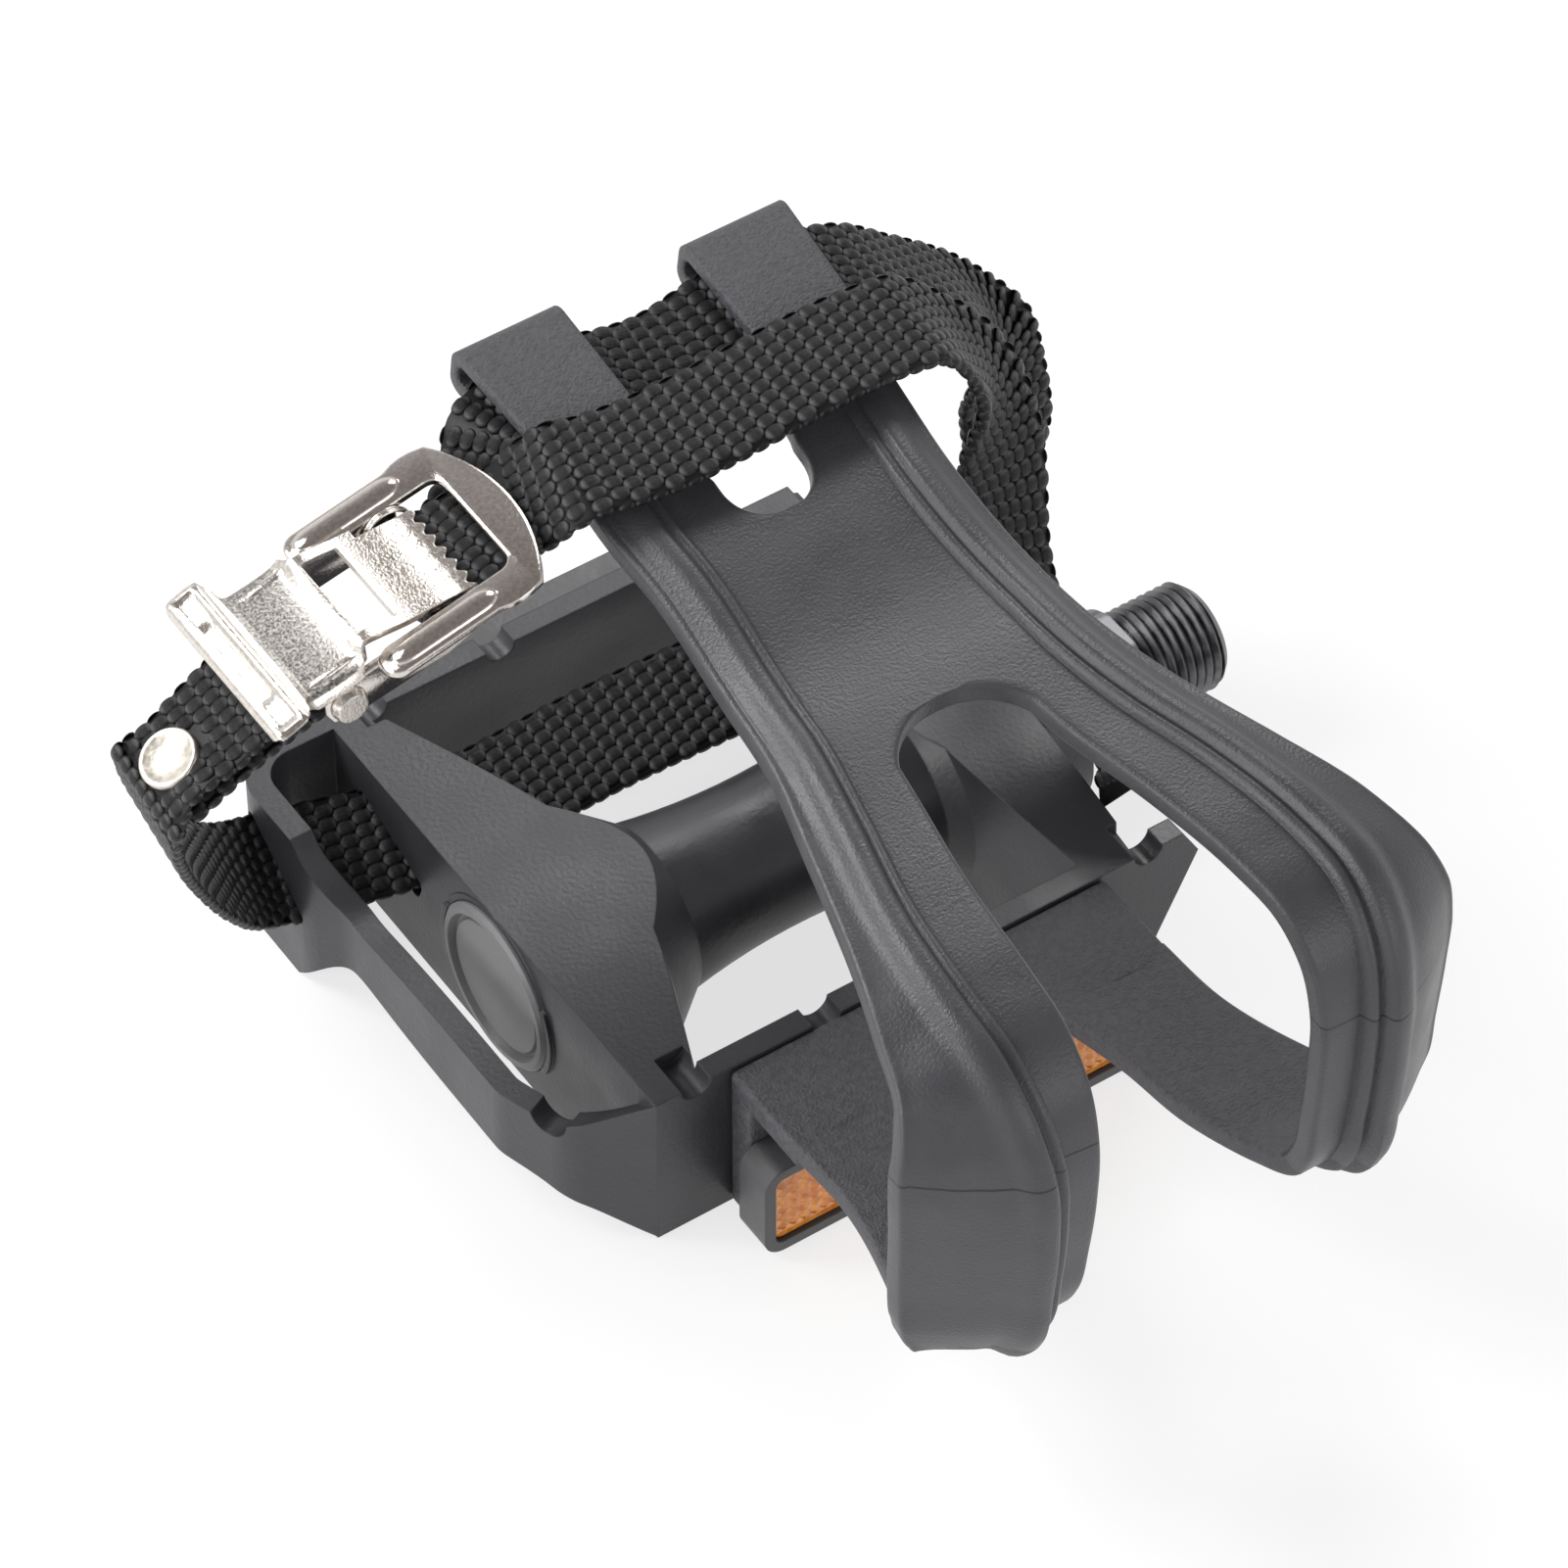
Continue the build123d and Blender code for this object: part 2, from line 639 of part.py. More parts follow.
lever_line = (
    (38.4, 1.6), (36.4, 2.2), (34.2, 2.4), (32.4, 1.7), (30.8, 1.6), (28, 2.3), (25, 2.4), (22, 2.0),
    (18.6, 1.2), (14, 0.4), (11, -0.2), (jaw_u, -0.3),
)
with BuildPart() as buckle_lever:
    with BuildSketch(buckle_side):
        with BuildLine():
            Polyline(*lever_line, *[(u, w - lever_sheet) for u, w in reversed(lever_line)], close=True)
        make_face()
    extrude(amount=tab_half, both=True)
    with BuildSketch(buckle_plane.offset(-6)) as lever_plan:
        Polygon(
            (38.4, tab_half - 1.5), (37, tab_half), (34.2, tab_half), (33, 10), (25.4, 9.4),
            (24.6, ear_inner + 1), (jaw_u, ear_inner + 1), (jaw_u, -ear_inner - 1), (24.6, -ear_inner - 1),
            (25.4, -9.4), (33, -10), (34.2, -tab_half), (37, -tab_half), (38.4, 1.5 - tab_half), align=None,
        )
        with Locations((36.4, 0)):
            SlotOverall(16, 2.2, rotation=90, mode=Mode.SUBTRACT)
        with Locations((16.6, 0)):
            RectangleRounded(4.2, 11, 1.2, mode=Mode.SUBTRACT)
        with GridLocations(0, 2 * ear_inner / tooth_count, 1, tooth_count):
            with Locations((jaw_u, 0)):
                Circle(tooth_radius, mode=Mode.SUBTRACT)
    extrude(amount=14, mode=Mode.INTERSECT)
    for side in (-1, 1):
        with BuildSketch(buckle_side.offset(side * ear_inner)):
            Polygon(
                (24.8, 2.0), (30.6, 1.2), (pin_u + 2.2, pin_w + 0.6), (pin_u + 1.2, pin_w - 2),
                (pin_u - 1.2, pin_w - 2), (pin_u - 2.2, pin_w + 0.6), align=None,
            )
        extrude(amount=side)
    with BuildSketch(buckle_side):
        with Locations((pin_u, pin_w)):
            Circle(pin_radius + pin_gap)
    extrude(amount=frame_half, both=True, mode=Mode.SUBTRACT)

with BuildPart() as lever_spring:
    coil_start = buckle_point(bar_u, bar_w, buckle_y + strap_width / 2 + spring_wire + 0.1)
    coil_radius = bar_radius + 0.15 + spring_wire
    with BuildLine() as coil:
        coil_length = spring_pitch * spring_turns
        Helix(spring_pitch, coil_length, coil_radius, center=coil_start, direction=(0, 1, 0))
    with BuildSketch(Plane(coil.line @ 0, z_dir=coil.line % 0)):
        Rectangle(2 * spring_wire, 2 * spring_wire)
    sweep(path=coil.line, is_frenet=True)

half = strap_thickness / 2
pin_turn = pin_radius + strap_gap + half
bar_turn = bar_radius + strap_gap + half
pin_sweep = (275, 75)
bar_sweep = (-90, 90)
turn_steps = 5
lower = ((49.9, -9.05), (42, -7.0), (36, -6.0))
upper = ((36, -2.9), (42, -5.0), (50.2, -7.4))
fixed_end = [*lower, *wrap(pin_u, pin_w, pin_turn, *pin_sweep, turn_steps), *upper]
bar_wrap = [
    (11, bar_w - bar_turn), *wrap(bar_u, bar_w, bar_turn, *bar_sweep, turn_steps),
    (7, bar_w + bar_turn), (-0.4, -2.2),
]
# Strap centre line by x, y, depth below the loops' top, roll of its width about X and yaw about Z
left_fall = (
    (-129.6, 9.1, 23.5, 12, 0),
    (-129.4, 10.4, 27.5, 19, 0),
    (-127.8, 13.4, 34.5, 21, 0),
)
# The same by height, through the cage's slots
cage_run = (
    (-124, 18, 28, 21, 0),
    (-116.5, 23, 14, 28, 0),
    (-110, 26.6, 6, 36, 0),
    (-104, *band_slot, band_roll, 0),
    (-97, 27, 1.8, 30, 0),
    (-88, 24.4, 2.3, 22, 0),
    (-60, *cage_strap, cage_roll, 0),
    (-22, *cage_strap, cage_roll, 0),
    (-14, 23.6, 4.6, 16, 0),
    (-10, 22.4, 8.5, 8, 22),
    (-7.2, 20.6, 13.5, 0, 52),
    (-5.4, 19.4, 19, 0, 74),
    (-4.9, 18.9, 25, 0, 80),
)
right_rise = (
    (-5.7, 19.6, 36.7, 0, 78),
    (-6.4, 18.9, 31.7, 0, 66),
    (-8.2, 18.3, 26.2, 0, 42),
    (-12.8, 18.3, 17, 0, 16),
    (-20.3, 18.8, 10.1, 4, 4),
    (-27, 18.7, 5.3, 6, 0),
    (-33, loop_y, 3.5, loop_tilt, 0),
    (-73, loop_y, 3.4, loop_tilt, 0),
    (-76.6, 17.7, 3.8, loop_tilt, 0),
    (-80.2, 14.8, 7, 0, 0),
    (-85, 11.4, 9.2, 0, 0),
)
free_end = (
    (-78.2, 7.6, 3.2, 0, 0),
    (-75.8, 6.3, -0.2, 0, 0),
    (-72, 6.2, -0.2, 0, 0),
    (-33, 6, -0.1, 0, 0),
    (-30.4, 6, 1.4, 0, 4),
    (-28.4, 5.9, 4.0, 0, 8),
    (-24.7, 5.3, 9.9, 0, 20),
    (-20.9, 4.6, 16.8, 0, 40),
    (-18.9, 4.2, 22.2, 0, 60),
    (-18.4, 3.6, 27.7, 0, 76),
    (-18.4, 2.4, 33.7, 0, 82),
    (-19.6, 0.2, 39.3, 0, 80),
    (-20.8, -4.6, 44.1, 0, 66),
    (-20.3, -12, 49.1, 0, 40),
    (-19.2, -20.5, 54.7, 0, 8),
    (-19, -27, 58.7, 0, -9),
)


def hang(stations):
    return [(Vector(x, y, loop_top - depth), roll, yaw) for x, y, depth, roll, yaw in stations]


route = [(buckle_point(u, w), 0, 0) for u, w in fixed_end]
route += hang(left_fall)
route += [(Vector(x, y, z), roll, yaw) for x, y, z, roll, yaw in cage_run]
rise_start = len(route)
route += hang(right_rise)
route += [(buckle_point(u, w), 0, 0) for u, w in bar_wrap]
route += hang(free_end)
rivet_slope = radians(15.5)
rivet_plane = Plane(
    buckle_point(rivet_u, -6.65),
    x_dir=(0, -1, 0),
    z_dir=u_dir * sin(rivet_slope) + w_dir * cos(rivet_slope),
)
sections = []
for i, (point, roll, yaw) in enumerate(route):
    run = (route[min(i + 1, len(route) - 1)][0] - route[max(i - 1, 0)][0]).normalized()
    level = cos(radians(roll))
    across = Vector(level * sin(radians(yaw)), level * cos(radians(yaw)), sin(radians(roll)))
    across = (across - run * across.dot(run)).normalized()
    sections.append(Plane(point, x_dir=across, z_dir=run))
with BuildPart() as toe_strap:
    for stretch in (sections[:rise_start + 1], sections[rise_start:]):
        for section in stretch:
            with BuildSketch(section):
                Rectangle(strap_width, strap_thickness)
        loft(ruled=True)
    with BuildSketch(rivet_plane.offset(-5)):
        Circle(rivet_radius + pin_gap)
    extrude(amount=8, mode=Mode.SUBTRACT)

with BuildPart() as strap_rivet:
    with BuildSketch(Plane(rivet_plane.origin, x_dir=rivet_plane.x_dir, z_dir=-rivet_plane.y_dir)):
        with BuildLine():
            Polyline(
                (0, 0.95), (1.3, 1.0), (2.5, 1.6), (rivet_head - 0.5, 1.7), (rivet_head, 1.3),
                (rivet_head, 0.85), (rivet_radius, 0.85), (rivet_radius, -3.55),
                (rivet_radius + 0.7, -3.55), (rivet_radius, -4.2), (0, -4.2), close=True,
            )
        make_face()
    revolve(axis=Axis(rivet_plane.origin, rivet_plane.z_dir))

with BuildPart() as rivet_washer:
    with BuildSketch(rivet_plane.offset(-3.5)):
        Circle(rivet_washer_radius)
        Circle(rivet_radius + pin_gap, mode=Mode.SUBTRACT)
    extrude(amount=0.75)

spindle.part.label = "spindle"
export_step(spindle.part, "parts/spindle.step")
inner_bearing_cup.part.label = "inner_bearing_cup"
export_step(inner_bearing_cup.part, "parts/inner_bearing_cup.step")
outer_bearing_cup.part.label = "outer_bearing_cup"
export_step(outer_bearing_cup.part, "parts/outer_bearing_cup.step")
inner_balls.part.label = "inner_balls"
export_step(inner_balls.part, "parts/inner_balls.step")
outer_balls.part.label = "outer_balls"
export_step(outer_balls.part, "parts/outer_balls.step")
outer_cone.part.label = "outer_cone"
export_step(outer_cone.part, "parts/outer_cone.step")
keyed_washer.part.label = "keyed_washer"
export_step(keyed_washer.part, "parts/keyed_washer.step")
lock_nut.part.label = "lock_nut"
export_step(lock_nut.part, "parts/lock_nut.step")
inner_seal.part.label = "inner_seal"
export_step(inner_seal.part, "parts/inner_seal.step")
dust_cap.part.label = "dust_cap"
export_step(dust_cap.part, "parts/dust_cap.step")
pedal_body.part.label = "pedal_body"
export_step(pedal_body.part, "parts/pedal_body.step")
toe_clip.part.label = "toe_clip"
export_step(toe_clip.part, "parts/toe_clip.step")
clip_screws.part.label = "clip_screws"
export_step(clip_screws.part, "parts/clip_screws.step")
clip_nuts.part.label = "clip_nuts"
export_step(clip_nuts.part, "parts/clip_nuts.step")
reflector_housing.part.label = "reflector_housing"
export_step(reflector_housing.part, "parts/reflector_housing.step")
reflector_lens.part.label = "reflector_lens"
export_step(reflector_lens.part, "parts/reflector_lens.step")
rear_reflector_housing.part.label = "rear_reflector_housing"
export_step(rear_reflector_housing.part, "parts/rear_reflector_housing.step")
rear_reflector_lens.part.label = "rear_reflector_lens"
export_step(rear_reflector_lens.part, "parts/rear_reflector_lens.step")
buckle_frame.part.label = "buckle_frame"
export_step(buckle_frame.part, "parts/buckle_frame.step")
lever_pin.part.label = "lever_pin"
export_step(lever_pin.part, "parts/lever_pin.step")
roller_pin.part.label = "roller_pin"
export_step(roller_pin.part, "parts/roller_pin.step")
buckle_lever.part.label = "buckle_lever"
export_step(buckle_lever.part, "parts/buckle_lever.step")
lever_spring.part.label = "lever_spring"
export_step(lever_spring.part, "parts/lever_spring.step")
toe_strap.part.label = "toe_strap"
export_step(toe_strap.part, "parts/toe_strap.step")
strap_rivet.part.label = "strap_rivet"
export_step(strap_rivet.part, "parts/strap_rivet.step")
rivet_washer.part.label = "rivet_washer"
export_step(rivet_washer.part, "parts/rivet_washer.step")
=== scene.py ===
import json
import math
import bmesh
import bpy
import numpy as np
from mathutils import Matrix, Vector


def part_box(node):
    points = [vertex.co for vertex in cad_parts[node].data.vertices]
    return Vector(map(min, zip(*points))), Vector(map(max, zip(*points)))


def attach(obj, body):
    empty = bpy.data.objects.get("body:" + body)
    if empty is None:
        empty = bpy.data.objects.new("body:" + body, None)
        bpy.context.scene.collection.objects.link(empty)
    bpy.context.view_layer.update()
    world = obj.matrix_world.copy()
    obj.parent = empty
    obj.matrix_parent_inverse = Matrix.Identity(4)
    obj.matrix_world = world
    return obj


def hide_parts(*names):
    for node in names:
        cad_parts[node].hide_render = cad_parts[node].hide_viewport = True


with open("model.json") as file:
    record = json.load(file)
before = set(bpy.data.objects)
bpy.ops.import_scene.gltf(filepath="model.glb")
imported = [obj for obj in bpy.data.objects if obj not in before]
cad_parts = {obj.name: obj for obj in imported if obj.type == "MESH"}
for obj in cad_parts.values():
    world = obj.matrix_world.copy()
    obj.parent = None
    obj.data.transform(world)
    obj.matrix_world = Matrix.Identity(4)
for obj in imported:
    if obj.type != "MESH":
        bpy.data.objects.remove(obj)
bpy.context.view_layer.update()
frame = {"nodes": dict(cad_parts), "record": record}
scene = bpy.context.scene
mm = 0.001

# Camera and light
stageSpec = {
    "cameraAt": (-0.3937, -0.5110, 0.7035),
    "right": (0.8299, -0.5580, 0.0),
    "up": (0.4172, 0.6205, 0.6641),
    "back": (-0.3706, -0.5511, 0.7477),
    "lens": 179.9,
    "sensor": 36,
    "clip": (0.05, 20),
    "floorZ": -0.0122,
    "floorHalf": 3.0,
    "floorWhite": 0.82,  # what sends light back up
    "floorGlow": 0.72,  # what the camera and mirrors see
    "floorShade": 0.30,  # shows the shadow to them
    "worldStops": (
        (0.0, (0.16, 0.12, 0.10, 1)), (0.47, (0.22, 0.18, 0.15, 1)), (0.54, (1.0, 0.99, 0.97, 1)),
        (0.68, (0.95, 0.95, 0.96, 1)), (0.82, (0.42, 0.41, 0.41, 1)), (0.95, (0.26, 0.24, 0.23, 1)),
    ),
    "worldLevel": 0.9,
    "middle": (-0.055, -0.02, 0.03),
}
lightSpec = {
    "leftLight": {"place": (-0.52, 0.46, 0.72), "size": (0.42, 0.42), "power": 6.0},
    "rightLight": {"place": (0.42, 0.50, 0.72), "size": (0.36, 0.36), "power": 3.2},
    "sideLight": {"place": (-0.95, 0.05, 0.30), "size": (0.5, 0.4), "power": 3.6},
    "frontLight": {"place": (0.20, -0.90, 0.35), "size": (0.6, 0.35), "power": 1.6},
}
cameraData = bpy.data.cameras.new("camera")
cameraData.lens = stageSpec["lens"]
cameraData.sensor_width = stageSpec["sensor"]
cameraData.dof.use_dof = False
cameraData.clip_start, cameraData.clip_end = stageSpec["clip"]
camera = bpy.data.objects.new("camera", cameraData)
scene.collection.objects.link(camera)
turn = Matrix((stageSpec["right"], stageSpec["up"], stageSpec["back"])).transposed()
camera.matrix_world = Matrix.Translation(stageSpec["cameraAt"]) @ turn.to_4x4()
scene.camera = camera
scene.view_settings.view_transform = "Standard"


def areaLight(name, spec):
    data = bpy.data.lights.new(name, "AREA")
    data.shape = "RECTANGLE"
    data.size, data.size_y = spec["size"]
    data.energy = spec["power"]
    lamp = bpy.data.objects.new(name, data)
    lamp.location = spec["place"]
    aim = Vector(stageSpec["middle"]) - Vector(spec["place"])
    lamp.rotation_euler = aim.to_track_quat("-Z", "Y").to_euler()
    scene.collection.objects.link(lamp)


for lightName, lightValues in lightSpec.items():
    areaLight(lightName, lightValues)


def rgba(colour):
    return (*colour, 1)


# Sets or links a node's inputs
def feed(tree, node, inputs):
    for socket, value in inputs.items():
        if isinstance(value, bpy.types.NodeSocket):
            tree.links.new(value, node.inputs[socket])
        else:
            node.inputs[socket].default_value = value
    return node


def addNode(tree, kind, inputs=None, **values):
    node = tree.nodes.new(kind)
    for key, value in values.items():
        setattr(node, key, value)
    return feed(tree, node, inputs or {})


def makeWorld():
    world = bpy.data.worlds.new("studio")
    scene.world = world
    world.use_nodes = True
    tree = world.node_tree
    place = addNode(tree, "ShaderNodeTexCoord")
    split = addNode(tree, "ShaderNodeSeparateXYZ", {0: place.outputs["Generated"]})
    rise = addNode(tree, "ShaderNodeMapRange", {"Value": split.outputs["Z"], "From Min": -1})
    ramp = addNode(tree, "ShaderNodeValToRGB", {0: rise.outputs[0]})
    stops = ramp.color_ramp.elements
    while len(stops) < len(stageSpec["worldStops"]):
        stops.new(0.5)
    for stop, (at, colour) in zip(stops, stageSpec["worldStops"]):
        stop.position = at
        stop.color = colour
    back = {"Color": ramp.outputs["Color"], "Strength": stageSpec["worldLevel"]}
    feed(tree, tree.nodes["Background"], back)


def makeFloor():
    half, low = stageSpec["floorHalf"], stageSpec["floorZ"]
    data = bpy.data.meshes.new("floor")
    corners = [(-half, -half, low), (half, -half, low), (half, half, low), (-half, half, low)]
    data.from_pydata(corners, [], [(0, 1, 2, 3)])
    floor = bpy.data.objects.new("floor", data)
    scene.collection.objects.link(floor)
    mat = bpy.data.materials.new("floorWhite")
    mat.use_nodes = True
    tree = mat.node_tree
    tree.nodes.clear()
    path = addNode(tree, "ShaderNodeLightPath")
    seen = path.outputs["Is Camera Ray"]
    for ray in ("Is Glossy Ray", "Is Transmission Ray"):
        rays = {0: seen, 1: path.outputs[ray]}
        seen = addNode(tree, "ShaderNodeMath", rays, operation="MAXIMUM").outputs[0]
    glow = addNode(tree, "ShaderNodeEmission", {"Strength": stageSpec["floorGlow"]})
    shade = addNode(tree, "ShaderNodeBsdfDiffuse", {"Color": rgba([stageSpec["floorShade"]] * 3)})
    shown = addNode(tree, "ShaderNodeAddShader", {0: glow.outputs[0], 1: shade.outputs[0]})
    white = addNode(tree, "ShaderNodeBsdfDiffuse", {"Color": rgba([stageSpec["floorWhite"]] * 3)})
    mix = addNode(tree, "ShaderNodeMixShader", {0: seen, 1: white.outputs[0], 2: shown.outputs[0]})
    addNode(tree, "ShaderNodeOutputMaterial", {0: mix.outputs[0]})
    data.materials.append(mat)


makeWorld()
makeFloor()
print("stage set")

# Finishes
plasticSpec = {
    "cageResin": {"dark": (0.030, 0.030, 0.035), "light": (0.039, 0.039, 0.045), "rough": (0.36, 0.46),
                  "grain": 1500, "depth": 0.00002, "patch": 0.08, "edge": 0.35},
    "clipNylon": {"dark": (0.044, 0.044, 0.050), "light": (0.054, 0.054, 0.061), "rough": (0.35, 0.43),
                  "grain": 2600, "depth": 0.00003, "patch": 0.06, "edge": 0.0},
    "clipGrain": {"dark": (0.047, 0.047, 0.053), "light": (0.076, 0.076, 0.085), "rough": (0.48, 0.62),
                  "grain": 2700, "depth": 0.0001, "patch": 0.5, "edge": 0.0},
    "capPlastic": {"dark": (0.158, 0.156, 0.161), "light": (0.180, 0.178, 0.184), "rough": (0.40, 0.5),
                   "grain": 2400, "depth": 0.00002, "patch": 0.08, "edge": 0.2},
    "housingPlastic": {"dark": (0.056, 0.056, 0.060), "light": (0.070, 0.070, 0.074), "rough": (0.35, 0.5),
                       "grain": 1600, "depth": 0.00002, "patch": 0.08, "edge": 0.35},
    "sealRubber": {"dark": (0.012, 0.012, 0.013), "light": (0.020, 0.020, 0.021), "rough": (0.6, 0.75),
                   "grain": 1200, "depth": 0.00003, "patch": 0.1, "edge": 0.2},
}
metalSpec = {
    "nickel": {"dark": (0.68, 0.63, 0.58), "light": (0.80, 0.76, 0.71), "rough": (0.15, 0.24),
               "grain": 3200, "depth": 0.000016, "patch": 0.6, "edge": 0.3},
    "frameNickel": {"dark": (0.66, 0.61, 0.57), "light": (0.76, 0.71, 0.67), "rough": (0.09, 0.15),
                    "grain": 3600, "depth": 0.000005, "patch": 0.6, "edge": 0.3},
    "grainNickel": {"dark": (0.17, 0.16, 0.15), "light": (0.50, 0.48, 0.45), "rough": (0.34, 0.50),
                    "grain": 3000, "depth": 0.00003, "patch": 1.0, "edge": 0.0},
    "satinNickel": {"dark": (0.62, 0.58, 0.51), "light": (0.76, 0.72, 0.65), "rough": (0.34, 0.46),
                    "grain": 2600, "depth": 0.00001, "patch": 0.5, "edge": 0.0},
    "bearingSteel": {"dark": (0.45, 0.45, 0.46), "light": (0.62, 0.62, 0.63), "rough": (0.12, 0.22),
                     "grain": 900, "depth": 0.00001, "patch": 0.5, "edge": 0.2},
    "zincSteel": {"dark": (0.50, 0.51, 0.53), "light": (0.66, 0.67, 0.69), "rough": (0.22, 0.36),
                  "grain": 900, "depth": 0.00002, "patch": 0.5, "edge": 0.2},
    "spindleSteel": {"dark": (0.11, 0.11, 0.115), "light": (0.21, 0.21, 0.22), "rough": (0.36, 0.48),
                     "grain": 900, "depth": 0.00001, "patch": 0.5, "edge": 0.25},
}
seamSpec = {"height": 42.5, "slope": -0.05, "middleX": -54.2, "from": -74.0, "half": 0.16, "wander": 0.5,
            "scale": 90, "dark": (0.006, 0.006, 0.007)}
yarnSpec = {
    # tip is a painted sheen: lighter colour towards both ends of each knot
    "dark": (0.009, 0.009, 0.010), "light": (0.020, 0.020, 0.022), "paintedSheen": (0.105, 0.105, 0.110),
    # gap is painted shade: darker colour at each knot's rim, where the knots meet
    "paintedSheenFrom": 0.30, "paintedSheenTo": 0.90, "gap": (0.004, 0.004, 0.0045), "gapFrom": 0.74, "gapTo": 0.98,
    "rough": 0.42, "specular": 0.25, "patch": 900, "fibre": (1.6, 11.0), "depth": 0.00012, "uvShift": 10.0,
}
lensSpec = {"deep": (0.62, 0.17, 0.012), "bright": (0.90, 0.36, 0.06), "rough": 0.14, "coat": 0.6,
            "inside": 0.35, "insideRadius": (0.003, 0.001, 0.0002), "scale": 700}


def noiseFactor(tree, place, scale, low=0.35, high=0.65, detail=3):
    cloud = {"Vector": place.outputs["Object"], "Scale": scale, "Detail": detail}
    noise = addNode(tree, "ShaderNodeTexNoise", cloud)
    span = {"Value": noise.outputs[0], "From Min": low, "From Max": high}
    return addNode(tree, "ShaderNodeMapRange", span).outputs[0]


def blend(tree, first, second, share):
    inputs = {"A": first, "B": second, "Factor": share}
    return addNode(tree, "ShaderNodeMix", inputs, data_type="RGBA").outputs["Result"]


def newSurface(name):
    mat = bpy.data.materials.new(name)
    mat.use_nodes = True
    tree = mat.node_tree
    return mat, tree, tree.nodes["Principled BSDF"], addNode(tree, "ShaderNodeTexCoord")


def surface(name, spec, metallic):
    mat, tree, shader, place = newSurface(name)
    patch = noiseFactor(tree, place, spec["grain"] * spec["patch"])
    smooth, rough = spec["rough"]
    polish = addNode(tree, "ShaderNodeMapRange", {"Value": patch, "To Min": smooth, "To Max": rough})
    grain = noiseFactor(tree, place, spec["grain"], low=0.3, high=0.7)
    bump = addNode(tree, "ShaderNodeBump", {"Distance": spec["depth"], "Height": grain})
    if spec["edge"]:
        edge = addNode(tree, "ShaderNodeBevel", {"Radius": spec["edge"] * mm}, samples=4)
        feed(tree, bump, {"Normal": edge.outputs[0]})
    feed(tree, shader, {
        "Base Color": blend(tree, rgba(spec["dark"]), rgba(spec["light"]), patch),
        "Metallic": metallic, "Roughness": polish.outputs[0], "Normal": bump.outputs[0],
    })
    return mat


def yarnSurface():
    mat, tree, shader, place = newSurface("yarn")
    patch = noiseFactor(tree, place, yarnSpec["patch"])
    layer = blend(tree, rgba(yarnSpec["dark"]), rgba(yarnSpec["light"]), patch)
    lengthwise = addNode(tree, "ShaderNodeUVMap", uv_map="fibre").outputs[0]
    shift = {0: lengthwise, 1: (yarnSpec["uvShift"], yarnSpec["uvShift"], 0)}
    centred = addNode(tree, "ShaderNodeVectorMath", shift, operation="SUBTRACT").outputs[0]
    split = addNode(tree, "ShaderNodeSeparateXYZ", {0: centred})
    along = addNode(tree, "ShaderNodeMath", {0: split.outputs["X"]}, operation="ABSOLUTE")
    away = addNode(tree, "ShaderNodeVectorMath", {0: centred}, operation="LENGTH")
    # Painted sheen lightens each knot's ends, then painted shade darkens its rim
    for name, reach in (("paintedSheen", along.outputs[0]), ("gap", away.outputs["Value"])):
        span = {"Value": reach, "From Min": yarnSpec[name + "From"], "From Max": yarnSpec[name + "To"]}
        share = addNode(tree, "ShaderNodeMapRange", span, interpolation_type="SMOOTHSTEP")
        layer = blend(tree, layer, rgba(yarnSpec[name]), share.outputs[0])
    stretch = addNode(tree, "ShaderNodeMapping", {"Vector": lengthwise, "Scale": (*yarnSpec["fibre"], 1)})
    fibres = addNode(tree, "ShaderNodeTexNoise", {"Vector": stretch.outputs[0], "Scale": 1})
    bump = addNode(tree, "ShaderNodeBump", {"Distance": yarnSpec["depth"], "Height": fibres.outputs[0]})
    feed(tree, shader, {
        "Base Color": layer, "Roughness": yarnSpec["rough"], "Normal": bump.outputs[0],
        "Specular IOR Level": yarnSpec["specular"],
    })
    return mat


def seamLine(mat):
    tree = mat.node_tree
    shader = tree.nodes["Principled BSDF"]
    place = addNode(tree, "ShaderNodeTexCoord")
    split = addNode(tree, "ShaderNodeSeparateXYZ", {0: place.outputs["Object"]})

    def step(operation, first, second=0.0):
        return addNode(tree, "ShaderNodeMath", {0: first, 1: second}, operation=operation).outputs[0]

    fromMiddle = step("SUBTRACT", split.outputs["X"], seamSpec["middleX"] * mm)
    aside = step("MULTIPLY", fromMiddle, seamSpec["slope"])
    wander = step("MULTIPLY", noiseFactor(tree, place, seamSpec["scale"]), seamSpec["wander"] * mm)
    level = step("ADD", step("ADD", aside, wander), seamSpec["height"] * mm)
    away = step("ABSOLUTE", step("SUBTRACT", split.outputs["Z"], level))
    near = step("LESS_THAN", away, seamSpec["half"] * mm)
    front = step("LESS_THAN", split.outputs["Y"], seamSpec["from"] * mm)
    before = shader.inputs["Base Color"].links[0].from_socket
    painted = blend(tree, before, rgba(seamSpec["dark"]), step("MULTIPLY", near, front))
    feed(tree, shader, {"Base Color": painted})


def lensSurface():
    mat, tree, shader, place = newSurface("amberLens")
    patch = noiseFactor(tree, place, lensSpec["scale"])
    feed(tree, shader, {
        "Base Color": blend(tree, rgba(lensSpec["deep"]), rgba(lensSpec["bright"]), patch),
        "Roughness": lensSpec["rough"], "Coat Weight": lensSpec["coat"],
        "Subsurface Weight": lensSpec["inside"], "Subsurface Radius": lensSpec["insideRadius"],
    })
    return mat


